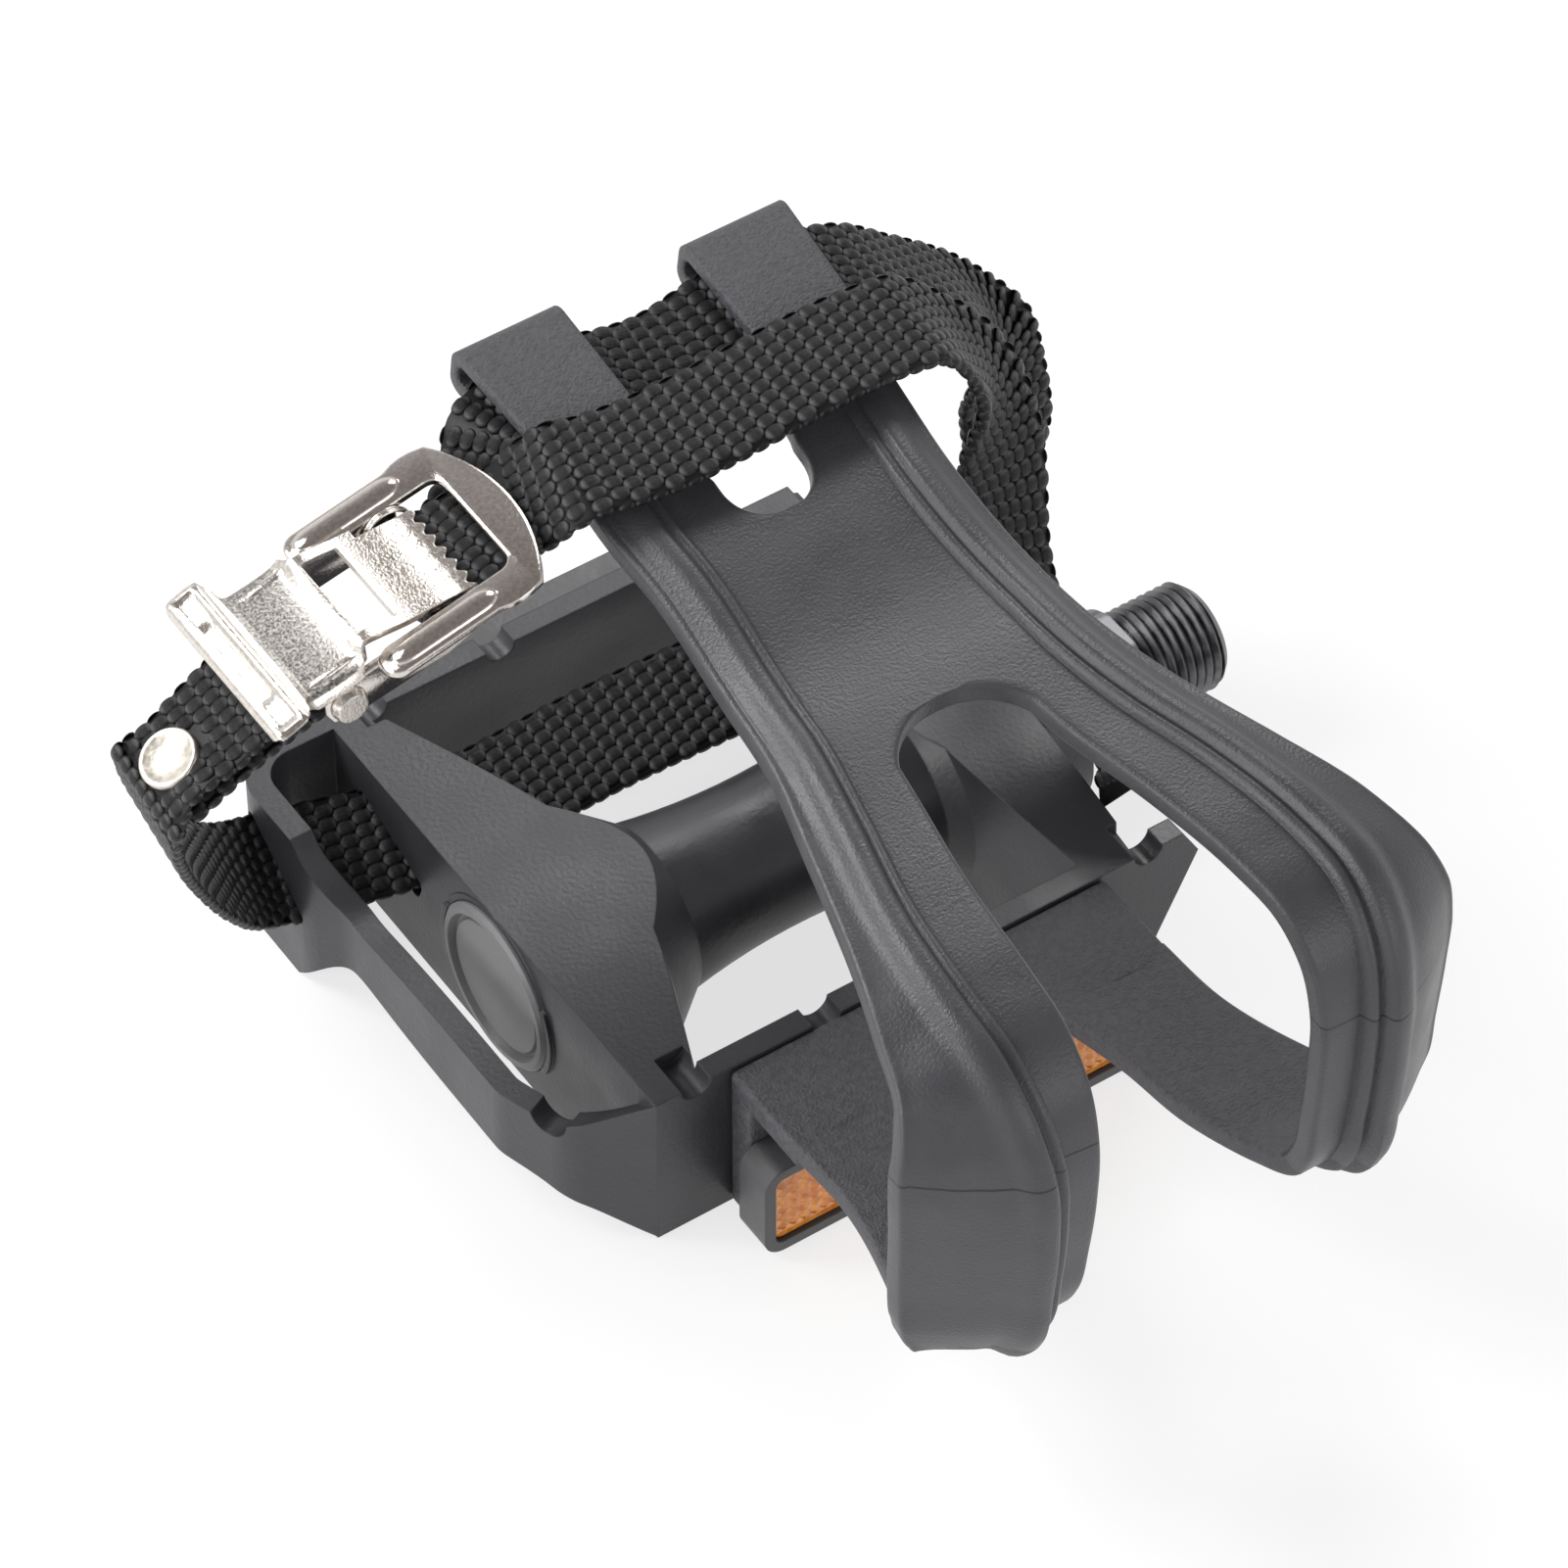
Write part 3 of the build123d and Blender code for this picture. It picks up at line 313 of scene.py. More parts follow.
finish = {name: surface(name, spec, 0.0) for name, spec in plasticSpec.items()}
finish.update({name: surface(name, spec, 1.0) for name, spec in metalSpec.items()})
finish["yarn"] = yarnSurface()
finish["amberLens"] = lensSurface()
seamLine(finish["clipNylon"])
slotFinish = {
    "cage_resin": "cageResin", "clip_nylon": "clipNylon", "cap_plastic": "capPlastic",
    "housing_plastic": "housingPlastic", "lens_amber": "amberLens", "spindle_steel": "spindleSteel",
    "bearing_steel": "bearingSteel", "zinc_steel": "zincSteel", "seal_rubber": "sealRubber",
    "webbing": "yarn", "nickel": "nickel",
}
nodeSlot = {part["node"]: part["material_slot"] for part in frame["record"]["subparts"]}
satinNodes = ("rivet_washer",)
for nodeName, node in frame["nodes"].items():
    node.data.materials.clear()
    look = "satinNickel" if nodeName in satinNodes else slotFinish[nodeSlot[nodeName]]
    node.data.materials.append(finish[look])
print("finishes made")


# Meshes and geometry trees
def meshObject(name, verts, faces):
    data = bpy.data.meshes.new(name)
    data.from_pydata([tuple(mm * c for c in v) for v in verts], [], [tuple(f) for f in faces])
    data.validate()
    obj = bpy.data.objects.new(name, data)
    scene.collection.objects.link(obj)
    return obj


def shadeSoft(obj, angle=40):
    obj.data.shade_smooth()
    obj.data.set_sharp_from_angle(angle=math.radians(angle))


def cleanMesh(obj, angle=40, merge=0.000005):
    work = bmesh.new()
    work.from_mesh(obj.data)
    bmesh.ops.remove_doubles(work, verts=work.verts, dist=merge)
    bmesh.ops.recalc_face_normals(work, faces=work.faces)
    work.to_mesh(obj.data)
    work.free()
    shadeSoft(obj, angle)


def newTree(name):
    tree = bpy.data.node_groups.new(name, "GeometryNodeTree")
    tree.interface.new_socket("Geometry", in_out="INPUT", socket_type="NodeSocketGeometry")
    tree.interface.new_socket("Geometry", in_out="OUTPUT", socket_type="NodeSocketGeometry")
    return tree, addNode(tree, "NodeGroupInput"), addNode(tree, "NodeGroupOutput")


def treeSocket(tree, name, kind):
    return tree.interface.new_socket(name, in_out="INPUT", socket_type=kind).identifier


def closeTree(tree, geometry, out, material):
    real = addNode(tree, "GeometryNodeRealizeInstances", {0: geometry})
    paint = addNode(tree, "GeometryNodeSetMaterial", {"Geometry": real.outputs[0], "Material": material})
    feed(tree, out, {0: paint.outputs[0]})


def applyModifiers(obj):
    graph = bpy.context.evaluated_depsgraph_get()
    shaped = bpy.data.meshes.new_from_object(obj.evaluated_get(graph))
    obj.modifiers.clear()
    obj.data = shaped


def grow(obj, tree, values):
    modifier = obj.modifiers.new("grow", "NODES")
    modifier.node_group = tree
    for key, value in values.items():
        modifier[key] = value
    applyModifiers(obj)


def coilTree(name, spec, spot, turned, material):
    tree, entry, out = newTree(name)
    helix = addNode(tree, "GeometryNodeCurveSpiral", {
        "Resolution": spec["perTurn"], "Rotations": spec["length"] / spec["pitch"],
        "Start Radius": spec["radius"] * mm, "End Radius": spec["radius"] * mm,
        "Height": spec["length"] * mm,
    })
    ring = {"Resolution": spec["sides"], "Radius": spec["wire"] * mm}
    wire = addNode(tree, "GeometryNodeCurvePrimitiveCircle", ring)
    upright = addNode(tree, "GeometryNodeSetCurveNormal", {0: helix.outputs[0]}, mode="Z_UP")
    sweep = addNode(tree, "GeometryNodeCurveToMesh", {
        "Curve": upright.outputs[0], "Profile Curve": wire.outputs[0], "Fill Caps": True,
    })
    lay = addNode(tree, "GeometryNodeTransform", {
        "Geometry": sweep.outputs[0], "Translation": [mm * c for c in spot], "Rotation": turned,
    })
    both = addNode(tree, "GeometryNodeJoinGeometry", {0: lay.outputs[0]})
    feed(tree, both, {0: entry.outputs["Geometry"]})
    closeTree(tree, both.outputs[0], out, material)
    return tree


def smoothRows(rows, perSpan):
    rows = np.array(rows, float)
    chord = np.linalg.norm(np.diff(rows[:, :3], axis=0), axis=1)
    knots = np.concatenate([[0], np.cumsum(chord)])
    slope = np.gradient(rows, knots, axis=0)
    spans = [np.linspace(a, b, perSpan, endpoint=False) for a, b in zip(knots, knots[1:])]
    at = np.append(np.concatenate(spans), knots[-1])
    return at, hermite(rows, slope, knots, at)


def hermite(rows, slope, knots, at):
    i = np.clip(np.searchsorted(knots, at, side="right") - 1, 0, len(knots) - 2)
    step = (knots[i + 1] - knots[i])[:, None]
    t = ((at - knots[i])[:, None]) / step
    a, b = rows[i], rows[i + 1]
    da, db = slope[i] * step, slope[i + 1] * step
    return ((2 * t**3 - 3 * t**2 + 1) * a + (t**3 - 2 * t**2 + t) * da
            + (3 * t**2 - 2 * t**3) * b + (t**3 - t**2) * db)


def softStep(value, low, high):
    share = min(1.0, max(0.0, (value - low) / (high - low)))
    return share * share * (3 - 2 * share)


def ringFaces(rows, columns, closed=True):
    last = columns if closed else columns - 1
    return [(r * columns + c, r * columns + (c + 1) % columns, (r + 1) * columns + (c + 1) % columns,
             (r + 1) * columns + c) for r in range(rows - 1) for c in range(last)]


# Toe clip
clipSpec = {
    "x": -54.2, "wall": 3.0, "reach": 86.8, "height": 72.0, "perSpan": 9, "upperFrom": 0.75,
    "beadHalf": 1.9, "beadGrow": 0.09, "beadTail": 0.14, "beadRim": 0.4, "hollow": 0.2, "grainTop": 13.5,
    "archY": -46.4, "archRadius": 9.8, "notchY": -2.0, "notchRadius": 5.5, "plateEnd": -0.5, "closed": 0.01,
    "edge": 0.8, "lowEdge": 0.6, "edgeSteps": 5, "flatSteps": 7, "fallSteps": 8, "bendSteps": 15,
    "backCurve": 1.25, "lean": 2.4, "leanFrom": 40.0,
    "loopY": 18.6, "loopTop": 73.7, "loopTilt": 8.0, "loopLength": 19.0, "loopDepth": 6.9, "loopRoof": 1.9,
    "loopInner": 8.4, "loopOuter": (21.2, 22.4), "loopCorner": 2.0, "loopEndWall": 1.7, "loopEdge": 0.55,
    "loopRound": ((0, 1), (0.15, 0.25), (0.45, 0), (1, 0)),
    "loopSlot": 3.0, "slotCorner": 1.0, "slotShift": 0.2,
    "shelf": (-48.0, -34.0, 8.0, 11.6), "flange": (-38.2, -34.0, -11.6, 8.6),
    "shelfHalf": 26.3, "shelfEdge": 0.7,
}
# Shares of the bead's height at shares of its half-width
beadShape = (
    (-1.0, 0.0), (-0.95, 0.16), (-0.86, 0.46), (-0.74, 0.56), (-0.62, 0.54), (-0.54, 0.44), (-0.48, 0.42),
    (-0.42, 0.52), (-0.32, 0.86), (-0.20, 0.99), (-0.06, 1.0), (0.10, 0.98), (0.26, 0.92), (0.42, 0.80),
    (0.56, 0.62), (0.70, 0.42), (0.84, 0.25), (1.0, 0.14),
)
# Shares of reach and height, inner and outer half-width, bead, set-back of the outer edge, bead's distance
armRows = (
    (-0.53, 0.1199, 9.4, 26.3, 0.0, 0, 7.0), (-0.6567, 0.1199, 11.4, 26.6, 0.0, 0, 7.0),
    (-0.7834, 0.1199, 12.2, 29.5, 0.1, 0, 7.0), (-0.8871, 0.125, 14.6, 33.2, 0.8, 0.5, 7.2),
    (-0.9482, 0.1583, 15.4, 35.2, 2.9, 3.2, 8.0), (-0.977, 0.225, 15.4, 36.4, 3.4, 4.6, 8.2),
    (-0.9908, 0.3333, 15.2, 36.9, 3.3, 5.5, 8.4), (-1, 0.4722, 15.0, 37.2, 3.2, 5.8, 8.6),
    (-0.9977, 0.5903, 14.9, 37.4, 3.0, 5.6, 8.9), (-0.97, 0.6944, 14.7, 36.9, 2.6, 4.4, 9.8),
    (-0.9101, 0.7681, 14.3, 35.2, 2.5, 2.6, 10.6), (-0.818, 0.8, 13.6, 32.8, 2.3, 1, 10.8),
    (-0.6797, 0.8222, 12, 28.4, 2.2, 0, 10.4), (-0.5415, 0.8389, 9.6, 24.5, 2.2, 0, 9.6),
    (-0.4147, 0.8569, 8, 21.6, 2, 0, 9.0), (-0.2765, 0.8736, 6.5, 20.3, 1.8, 0, 9.8),
    (-0.1198, 0.9167, 5.2, 19.6, 1.6, 0, 10.4), (-0.0058, 0.9472, 5.7, 20.2, 1.2, 0, 10.4),
    (0.1037, 0.9931, 6.8, 20.4, 0.6, 0, 9.8), (0.1221, 1, 7.0, 20.4, 0.3, 0, 9.8),
)


def roundOpening(radius, away):
    return math.sqrt(max(0.0, radius**2 - away**2))


def innerEdge(y, z, near):
    if z < clipSpec["upperFrom"] * clipSpec["height"] or not clipSpec["archY"] <= y <= clipSpec["plateEnd"]:
        return near
    arch = roundOpening(clipSpec["archRadius"], y - clipSpec["archY"])
    notch = roundOpening(clipSpec["notchRadius"], min(0.0, y - clipSpec["notchY"]))
    return min(near, max(arch, notch))


def armSection(near, inner, far, bead, back, offset):
    wall, edge, low = clipSpec["wall"], clipSpec["edge"], clipSpec["lowEdge"]
    half = clipSpec["beadHalf"] + clipSpec["beadGrow"] * (far - near)
    mid = min(near + offset, far - edge - half - clipSpec["beadRim"])
    lip = min(edge, inner)
    arc = np.linspace(0, math.pi / 2, clipSpec["edgeSteps"])
    points = [(inner + lip - lip * math.cos(a), lip - lip * math.sin(a)) for a in arc]
    points += [(x, 0.0) for x in np.linspace(inner + lip, mid - half, clipSpec["flatSteps"])[1:-1]]
    points += [(mid + half * s, -bead * h) for s, h in beadShape]
    start, fall = mid + half, clipSpec["beadTail"] * bead
    for share in np.linspace(0, 1, clipSpec["fallSteps"])[1:]:
        x = start + share * (far - edge - start)
        points.append((x, -fall * (1 - share)**2 + back * share**clipSpec["backCurve"]))
    points += [(far - edge + edge * math.sin(a), back + edge - edge * math.cos(a)) for a in arc[1:]]
    points += [(far - low + low * math.cos(a), back + wall - low + low * math.sin(a)) for a in arc]
    points += [(mid + half, wall - clipSpec["hollow"]), (mid - half, wall)]
    lip = min(low, inner)
    points += [(inner + lip - lip * math.sin(a), wall - lip + lip * math.cos(a)) for a in arc]
    return points


def noseLean(y):
    return clipSpec["lean"] * softStep(-y, clipSpec["leanFrom"], clipSpec["reach"])


def makeArms():
    rows = [(0, y * clipSpec["reach"], z * clipSpec["height"], *rest) for y, z, *rest in armRows]
    at, dense = smoothRows(rows, clipSpec["perSpan"])
    upper = np.flatnonzero(dense[:, 2] > clipSpec["upperFrom"] * clipSpec["height"])
    bends = np.radians(np.linspace(0, 90, clipSpec["bendSteps"]))
    wanted = np.concatenate([clipSpec["archY"] + clipSpec["archRadius"] * np.sin(bends),
                             clipSpec["notchY"] - clipSpec["notchRadius"] * np.sin(bends)])
    extra = np.interp(wanted, dense[upper, 1], at[upper])
    full = np.unique(np.round(np.concatenate([at, extra]), 4))
    dense = np.array([np.interp(full, at, column) for column in dense.T]).T
    along = np.gradient(dense[:, 1:3], full, axis=0)
    along /= np.linalg.norm(along, axis=1)[:, None]
    verts, wide = [], []
    for row, way in zip(dense, along):
        y, z, near, far, bead, back, offset = row[1:]
        inner = innerEdge(y, z, near)
        wide.append(inner)
        section = armSection(near, inner, far, max(bead, 0.0), max(back, 0.0), offset)
        verts += [(x, y + way[1] * d, z - way[0] * d) for x, d in section]
    columns, rim = len(verts) // len(dense), clipSpec["edgeSteps"]
    faces = []
    for face in ringFaces(len(dense), columns):
        ends = {v // columns for v in face}
        spots = [v % columns for v in face]
        wallFace = all(s < rim or s >= columns - rim for s in spots)
        if not (wallFace and max(wide[e] for e in ends) < clipSpec["closed"]):
            faces.append(face)
    faces += [tuple(range(columns)), tuple(range(len(verts) - columns, len(verts)))]
    both = [(clipSpec["x"] + side * x + noseLean(y), y, z) for side in (1, -1) for x, y, z in verts]
    faces += [tuple(len(verts) + v for v in reversed(face)) for face in faces]
    return both, faces


def roundedRing(length, depth, corner, perCorner=6):
    ring = []
    for sx, sy, start in ((1, 1, 0), (-1, 1, 90), (-1, -1, 180), (1, -1, 270)):
        for a in np.radians(np.linspace(start, start + 90, perCorner)):
            ring.append((sx * (length / 2 - corner) + corner * math.cos(a),
                         sy * (depth / 2 - corner) + corner * math.sin(a)))
    return ring


def makeLoop(side):
    tilt = math.radians(clipSpec["loopTilt"])
    length, depth, soft = clipSpec["loopLength"], clipSpec["loopDepth"], clipSpec["loopEdge"]
    slotRise = depth / 2 - clipSpec["loopRoof"] - clipSpec["loopSlot"] / 2
    rings = [(clipSpec["loopInner"] + share * soft, inset * soft) for share, inset in clipSpec["loopRound"]]
    rings += [(None, inset) for _, inset in reversed(rings)]
    outer0, outer1 = clipSpec["loopOuter"]
    verts, faces = [], []
    for index, (x, inset) in enumerate(rings):
        ring = roundedRing(length - 2 * inset, depth - 2 * inset, clipSpec["loopCorner"] - inset)
        hole = roundedRing(length - 2 * clipSpec["loopEndWall"] + 2 * inset,
                           clipSpec["loopSlot"] + 2 * inset, clipSpec["slotCorner"] + inset)
        hole = [(a + clipSpec["slotShift"], b + slotRise) for a, b in hole]
        mirrored = rings[len(rings) - 1 - index][0]
        for a, b in ring + hole:
            edgeX = outer0 + (a + length / 2) / length * (outer1 - outer0)
            place = x if x is not None else edgeX - (mirrored - clipSpec["loopInner"])
            c = b - depth / 2
            y = clipSpec["loopY"] + a * math.cos(tilt) - c * math.sin(tilt)
            z = clipSpec["loopTop"] + a * math.sin(tilt) + c * math.cos(tilt)
            verts.append((clipSpec["x"] + side * place, y, z))
    count = len(verts) // (2 * len(rings))
    for r in range(len(rings) - 1):
        for c in range(count):
            for base in (0, count):
                lo, hi = r * 2 * count + base, (r + 1) * 2 * count + base
                faces.append((lo + c, lo + (c + 1) % count, hi + (c + 1) % count, hi + c))
    for base in (0, (len(rings) - 1) * 2 * count):
        faces += [(base + c, base + (c + 1) % count, base + count + (c + 1) % count, base + count + c)
                  for c in range(count)]
    return verts, faces


def softPlate(name, outline, low, high, edge, place, sharpFrom=50):
    count = len(outline)
    verts = [place(a, b, level) for level in (low, high) for a, b in outline]
    faces = ringFaces(2, count) + [tuple(range(count)), tuple(range(count, 2 * count))]
    obj = meshObject(name, verts, faces)
    work = bmesh.new()
    work.from_mesh(obj.data)
    bmesh.ops.recalc_face_normals(work, faces=work.faces)
    rims = [e for e in work.edges if e.calc_face_angle(0) > math.radians(sharpFrom)]
    bmesh.ops.bevel(work, geom=rims, offset=edge * mm, segments=3, profile=0.5, affect="EDGES")
    work.to_mesh(obj.data)
    work.free()
    shadeSoft(obj)
    return obj


def rectangle(a0, a1, b0, b1):
    return [(a0, b0), (a1, b0), (a1, b1), (a0, b1)]


def joinInto(target, others):
    with bpy.context.temp_override(active_object=target, selected_editable_objects=[target, *others]):
        bpy.ops.object.join()


def makeClip():
    verts, faces = makeArms()
    arms = meshObject("toeClip", verts, faces)
    cleanMesh(arms)
    arms.data.materials.append(finish["clipNylon"])
    arms.data.materials.append(finish["clipGrain"])
    for face in arms.data.polygons:
        face.material_index = int(face.center.z < clipSpec["grainTop"] * mm)
    extras = []
    for side in (1, -1):
        loop = meshObject("loop", *makeLoop(side))
        cleanMesh(loop)
        loop.data.materials.append(finish["clipGrain"])
        extras.append(loop)
    half = clipSpec["shelfHalf"]
    left, right = clipSpec["x"] - half, clipSpec["x"] + half
    for name in ("shelf", "flange"):
        y0, y1, z0, z1 = clipSpec[name]
        outline = rectangle(left, right, y0, y1)
        block = softPlate(name, outline, z0, z1, clipSpec["shelfEdge"], lambda a, b, c: (a, b, c))
        block.data.materials.append(finish["clipGrain"])
        extras.append(block)
    joinInto(arms, extras)
    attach(arms, "cage")
    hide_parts("toe_clip")
    print("clip made", len(arms.data.polygons))


makeClip()

# Strap
strapSpec = {
    "core": 0.36, "coreWidth": 13.6, "coreRound": 0.9, "coreSteps": 3, "ribs": 640, "perSpan": 9,
    "rowPitch": 2.15, "ends": (0.6, 0.5), "knots": 8, "knotPitch": 1.71, "knot": (1.36, 1.0, 0.47),
    "knotRings": ((1.0, 0.0), (0.82, 0.62)), "knotSides": 14, "lean": 8.0, "edgeKnot": (1.1, 0.66, 0.30),
    "edgeRise": 0.10, "thickness": 1.5, "gap": 0.2,
    "rivet": (47.6, 3.3, 4.0),  # place along the buckle, clear radius and depth
}
buckleSpec = {
    "at": (-81.0, 9.0, 70.2), "slope": 13.0, "pin": (28.9, -3.0), "pinRadius": 1.3, "pinSweep": (275, 75),
    "bar": (14.0, -3.9), "barRadius": 0.9, "barAside": -0.4, "barSweep": (-90, 90),
    "barFrom": 11, "barTo": 7, "barLeave": (-0.4, -2.2), "rivetLevel": -7.4, "steps": 5,
}


def bucklePlace(u, aside, w):
    slope = math.radians(buckleSpec["slope"])
    x, y, z = buckleSpec["at"]
    return (x - u * math.cos(slope) - w * math.sin(slope), y + aside,
            z - u * math.sin(slope) + w * math.cos(slope))


def buckleSpot(place):
    slope = math.radians(buckleSpec["slope"])
    x, y, z = (c - start for c, start in zip(place, buckleSpec["at"]))
    return -x * math.cos(slope) - z * math.sin(slope), y


def buckleStation(u, w, aside=0):
    return (*bucklePlace(u, aside, w), 0, 0)


def wrapTurn(place, radius, sweep):
    radius += strapSpec["gap"] + strapSpec["thickness"] / 2
    bends = np.radians(np.linspace(sweep[0], sweep[1], buckleSpec["steps"] + 1))
    return [(place[0] + radius * math.cos(a), place[1] + radius * math.sin(a)) for a in bends]


# Fixed end, along the buckle and over it
fixedLower = ((49.9, -9.05), (42, -7.0), (36, -6.0))
fixedUpper = ((36, -2.9), (42, -5.0), (50.2, -7.4))
# Stations by x, y, depth below the loops' top, roll about X and yaw about Z. cageRun has heights for depths
leftFall = ((-129.2, 9.1, 23.4, 12, 0), (-128.8, 10.4, 27.2, 19, 0), (-126.8, 13.4, 34.0, 21, 0))
cageRun = (
    (-122.6, 18, 28.6, 21, 0), (-115.6, 23, 14.8, 28, 0), (-109.6, 26.6, 6.4, 36, 0),
    (-104, 28.6, 2.2, 38, 0), (-97, 27, 1.8, 30, 0), (-88, 24.4, 2.3, 22, 0), (-60, 24, 2.5, 20, 0),
    (-22, 24, 2.5, 20, 0), (-14, 23.6, 4.6, 16, 0), (-10, 22.4, 8.5, 8, 22), (-7.2, 20.6, 13.5, 0, 52),
    (-5.4, 19.4, 19, 0, 74), (-4.9, 18.9, 25, 0, 80),
)
rightRise = (
    (-5.7, 19.6, 36.7, 0, 78), (-6.4, 18.9, 31.7, 0, 66), (-8.2, 18.3, 26.2, 0, 42),
    (-12.8, 18.0, 17.4, 0, 16), (-20.3, 18.2, 10.6, 8, 4), (-27, 18.5, 5.6, 10, 0), (-33, 18.6, 3.5, 8, 0),
    (-43.6, 18.6, 3.6, 8, 0), (-54.2, 18.2, 5.2, 8, 0), (-64.8, 18.6, 3.6, 8, 0), (-73, 18.6, 3.4, 8, 0),
    (-76.6, 17.7, 3.8, 8, 0), (-80.2, 14.8, 7, 0, 0), (-85, 11.4, 9.2, 0, 0),
)
freeEnd = (
    (-78.2, 7.2, 3.2, 2, 0), (-76.2, 5.9, 0.95, 5, 0), (-74.2, 5.3, 0.35, 7, 0), (-71, 5.0, 0.8, 8, 0),
    (-33, 4.8, 0.9, 8, 0), (-29.6, 4.9, 1.6, 8, 4), (-26.6, 5.2, 3.9, 6, 8), (-22.6, 5.3, 9.0, 2, 20),
    (-18.9, 5.0, 15.4, 0, 38), (-17.4, 4.6, 21.4, 0, 58), (-17.2, 3.9, 27.4, 0, 75),
    (-17.7, 2.5, 33.6, 0, 82), (-19.2, 0.2, 39.3, 0, 80), (-20.8, -4.6, 44.1, 0, 66),
    (-20.3, -12, 49.1, 0, 40), (-19.2, -20.5, 54.7, 0, 8), (-19, -27, 58.7, 0, -9),
)


def hang(stations):
    return [(x, y, clipSpec["loopTop"] - depth, roll, yaw) for x, y, depth, roll, yaw in stations]


def strapRoute():
    pinTurn = wrapTurn(buckleSpec["pin"], buckleSpec["pinRadius"], buckleSpec["pinSweep"])
    barTurn = wrapTurn(buckleSpec["bar"], buckleSpec["barRadius"], buckleSpec["barSweep"])
    before, after = (buckleSpec["barFrom"], barTurn[0][1]), (buckleSpec["barTo"], barTurn[-1][1])
    barWrap = [before, *barTurn, after, buckleSpec["barLeave"]]
    route = [buckleStation(u, w) for u, w in (*fixedLower, *pinTurn, *fixedUpper)]
    route += hang(leftFall)
    route += list(cageRun)
    route += hang(rightRise)
    route += [buckleStation(u, w, buckleSpec["barAside"]) for u, w in barWrap]
    return route + hang(freeEnd)


def unit(rows):
    return rows / np.linalg.norm(rows, axis=1)[:, None]


def strapFrame():
    route = np.array(strapRoute(), float)
    spot, roll, yaw = route[:, :3], np.radians(route[:, 3]), np.radians(route[:, 4])
    run = unit(np.vstack([spot[1:], spot[-1:]]) - np.vstack([spot[:1], spot[:-1]]))
    across = np.stack([np.cos(roll) * np.sin(yaw), np.cos(roll) * np.cos(yaw), np.sin(roll)], axis=1)
    across = unit(across - run * np.sum(across * run, axis=1)[:, None])
    _, dense = smoothRows(np.hstack([spot, across]), strapSpec["perSpan"])
    length = np.concatenate([[0], np.cumsum(np.linalg.norm(np.diff(dense[:, :3], axis=0), axis=1))])
    run = unit(np.gradient(dense[:, :3], length, axis=0))
    across = unit(dense[:, 3:] - run * np.sum(dense[:, 3:] * run, axis=1)[:, None])
    return length, dense[:, :3], run, across


def strapAt(table, at):
    length, spot, run, across = table
    pick = [np.stack([np.interp(at, length, c) for c in rows.T], axis=1) for rows in (spot, run, across)]
    run = unit(pick[1])
    across = unit(pick[2] - run * np.sum(pick[2] * run, axis=1)[:, None])
    return pick[0], run, across, np.cross(run, across)


def coreRibbon(table):
    at = np.linspace(0, table[0][-1], strapSpec["ribs"])
    spot, _, across, normal = strapAt(table, at)
    core = strapSpec["core"]
    corner = strapSpec["coreRound"] * core
    ring = roundedRing(strapSpec["coreWidth"], 2 * core, corner, strapSpec["coreSteps"])
    verts = [tuple(spot[i] + a * across[i] + b * normal[i]) for i in range(len(at)) for a, b in ring]
    faces = ringFaces(len(at), len(ring))
    faces += [tuple(range(len(ring))), tuple(range(len(verts) - len(ring), len(verts)))]
    ribbon = meshObject("strapCore", verts, faces)
    cleanMesh(ribbon)
    return ribbon


def knotMesh(name):
    sides = strapSpec["knotSides"]
    verts = [(r * math.cos(2 * math.pi * k / sides), r * math.sin(2 * math.pi * k / sides), h)
             for r, h in strapSpec["knotRings"] for k in range(sides)] + [(0, 0, 1.0)]
    faces = ringFaces(2, sides)
    faces += [(sides + k, sides + (k + 1) % sides, 2 * sides) for k in range(sides)]
    knot = meshObject(name, verts, faces)
    knot.data.shade_smooth()
    layer = knot.data.uv_layers.new(name="fibre")
    for corner in knot.data.loops:
        spot = knot.data.vertices[corner.vertex_index].co.xy / mm
        layer.data[corner.index].uv = spot + Vector((yarnSpec["uvShift"], yarnSpec["uvShift"]))
    return knot


def knotPlaces(table):
    first, last = strapSpec["ends"]
    pitch = strapSpec["rowPitch"]
    at = np.arange(first * pitch, table[0][-1] - last * pitch, pitch)
    places = []
    for index, (spot, run, across, normal) in enumerate(zip(*strapAt(table, at))):
        count = strapSpec["knots"] - index % 2
        for side in (1, -1):
            lean = Matrix.Rotation(math.radians(side * strapSpec["lean"]), 3, "Z")
            axes = Matrix((run, side * across, side * normal)).transposed() @ lean
            base = spot + side * strapSpec["core"] * normal
            for k in range(count):
                aside = (k - (count - 1) / 2) * strapSpec["knotPitch"] * across
                places.append((base + aside, axes.to_euler(), strapSpec["knot"]))
            rim = spot + side * (0.5 * strapSpec["coreWidth"] - strapSpec["edgeRise"]) * across
            axes = Matrix((run, -side * normal, side * across)).transposed()
            places.append((rim, axes.to_euler(), strapSpec["edgeKnot"]))
    u, clear, deep = strapSpec["rivet"]
    rivet = np.array(bucklePlace(u, 0, buckleSpec["rivetLevel"]))
    free = [row for row in places if abs(row[0][2] - rivet[2]) > deep
            or math.hypot(*(row[0][:2] - rivet[:2])) > clear]
    return [[tuple(row[column]) for row in free] for column in range(3)]


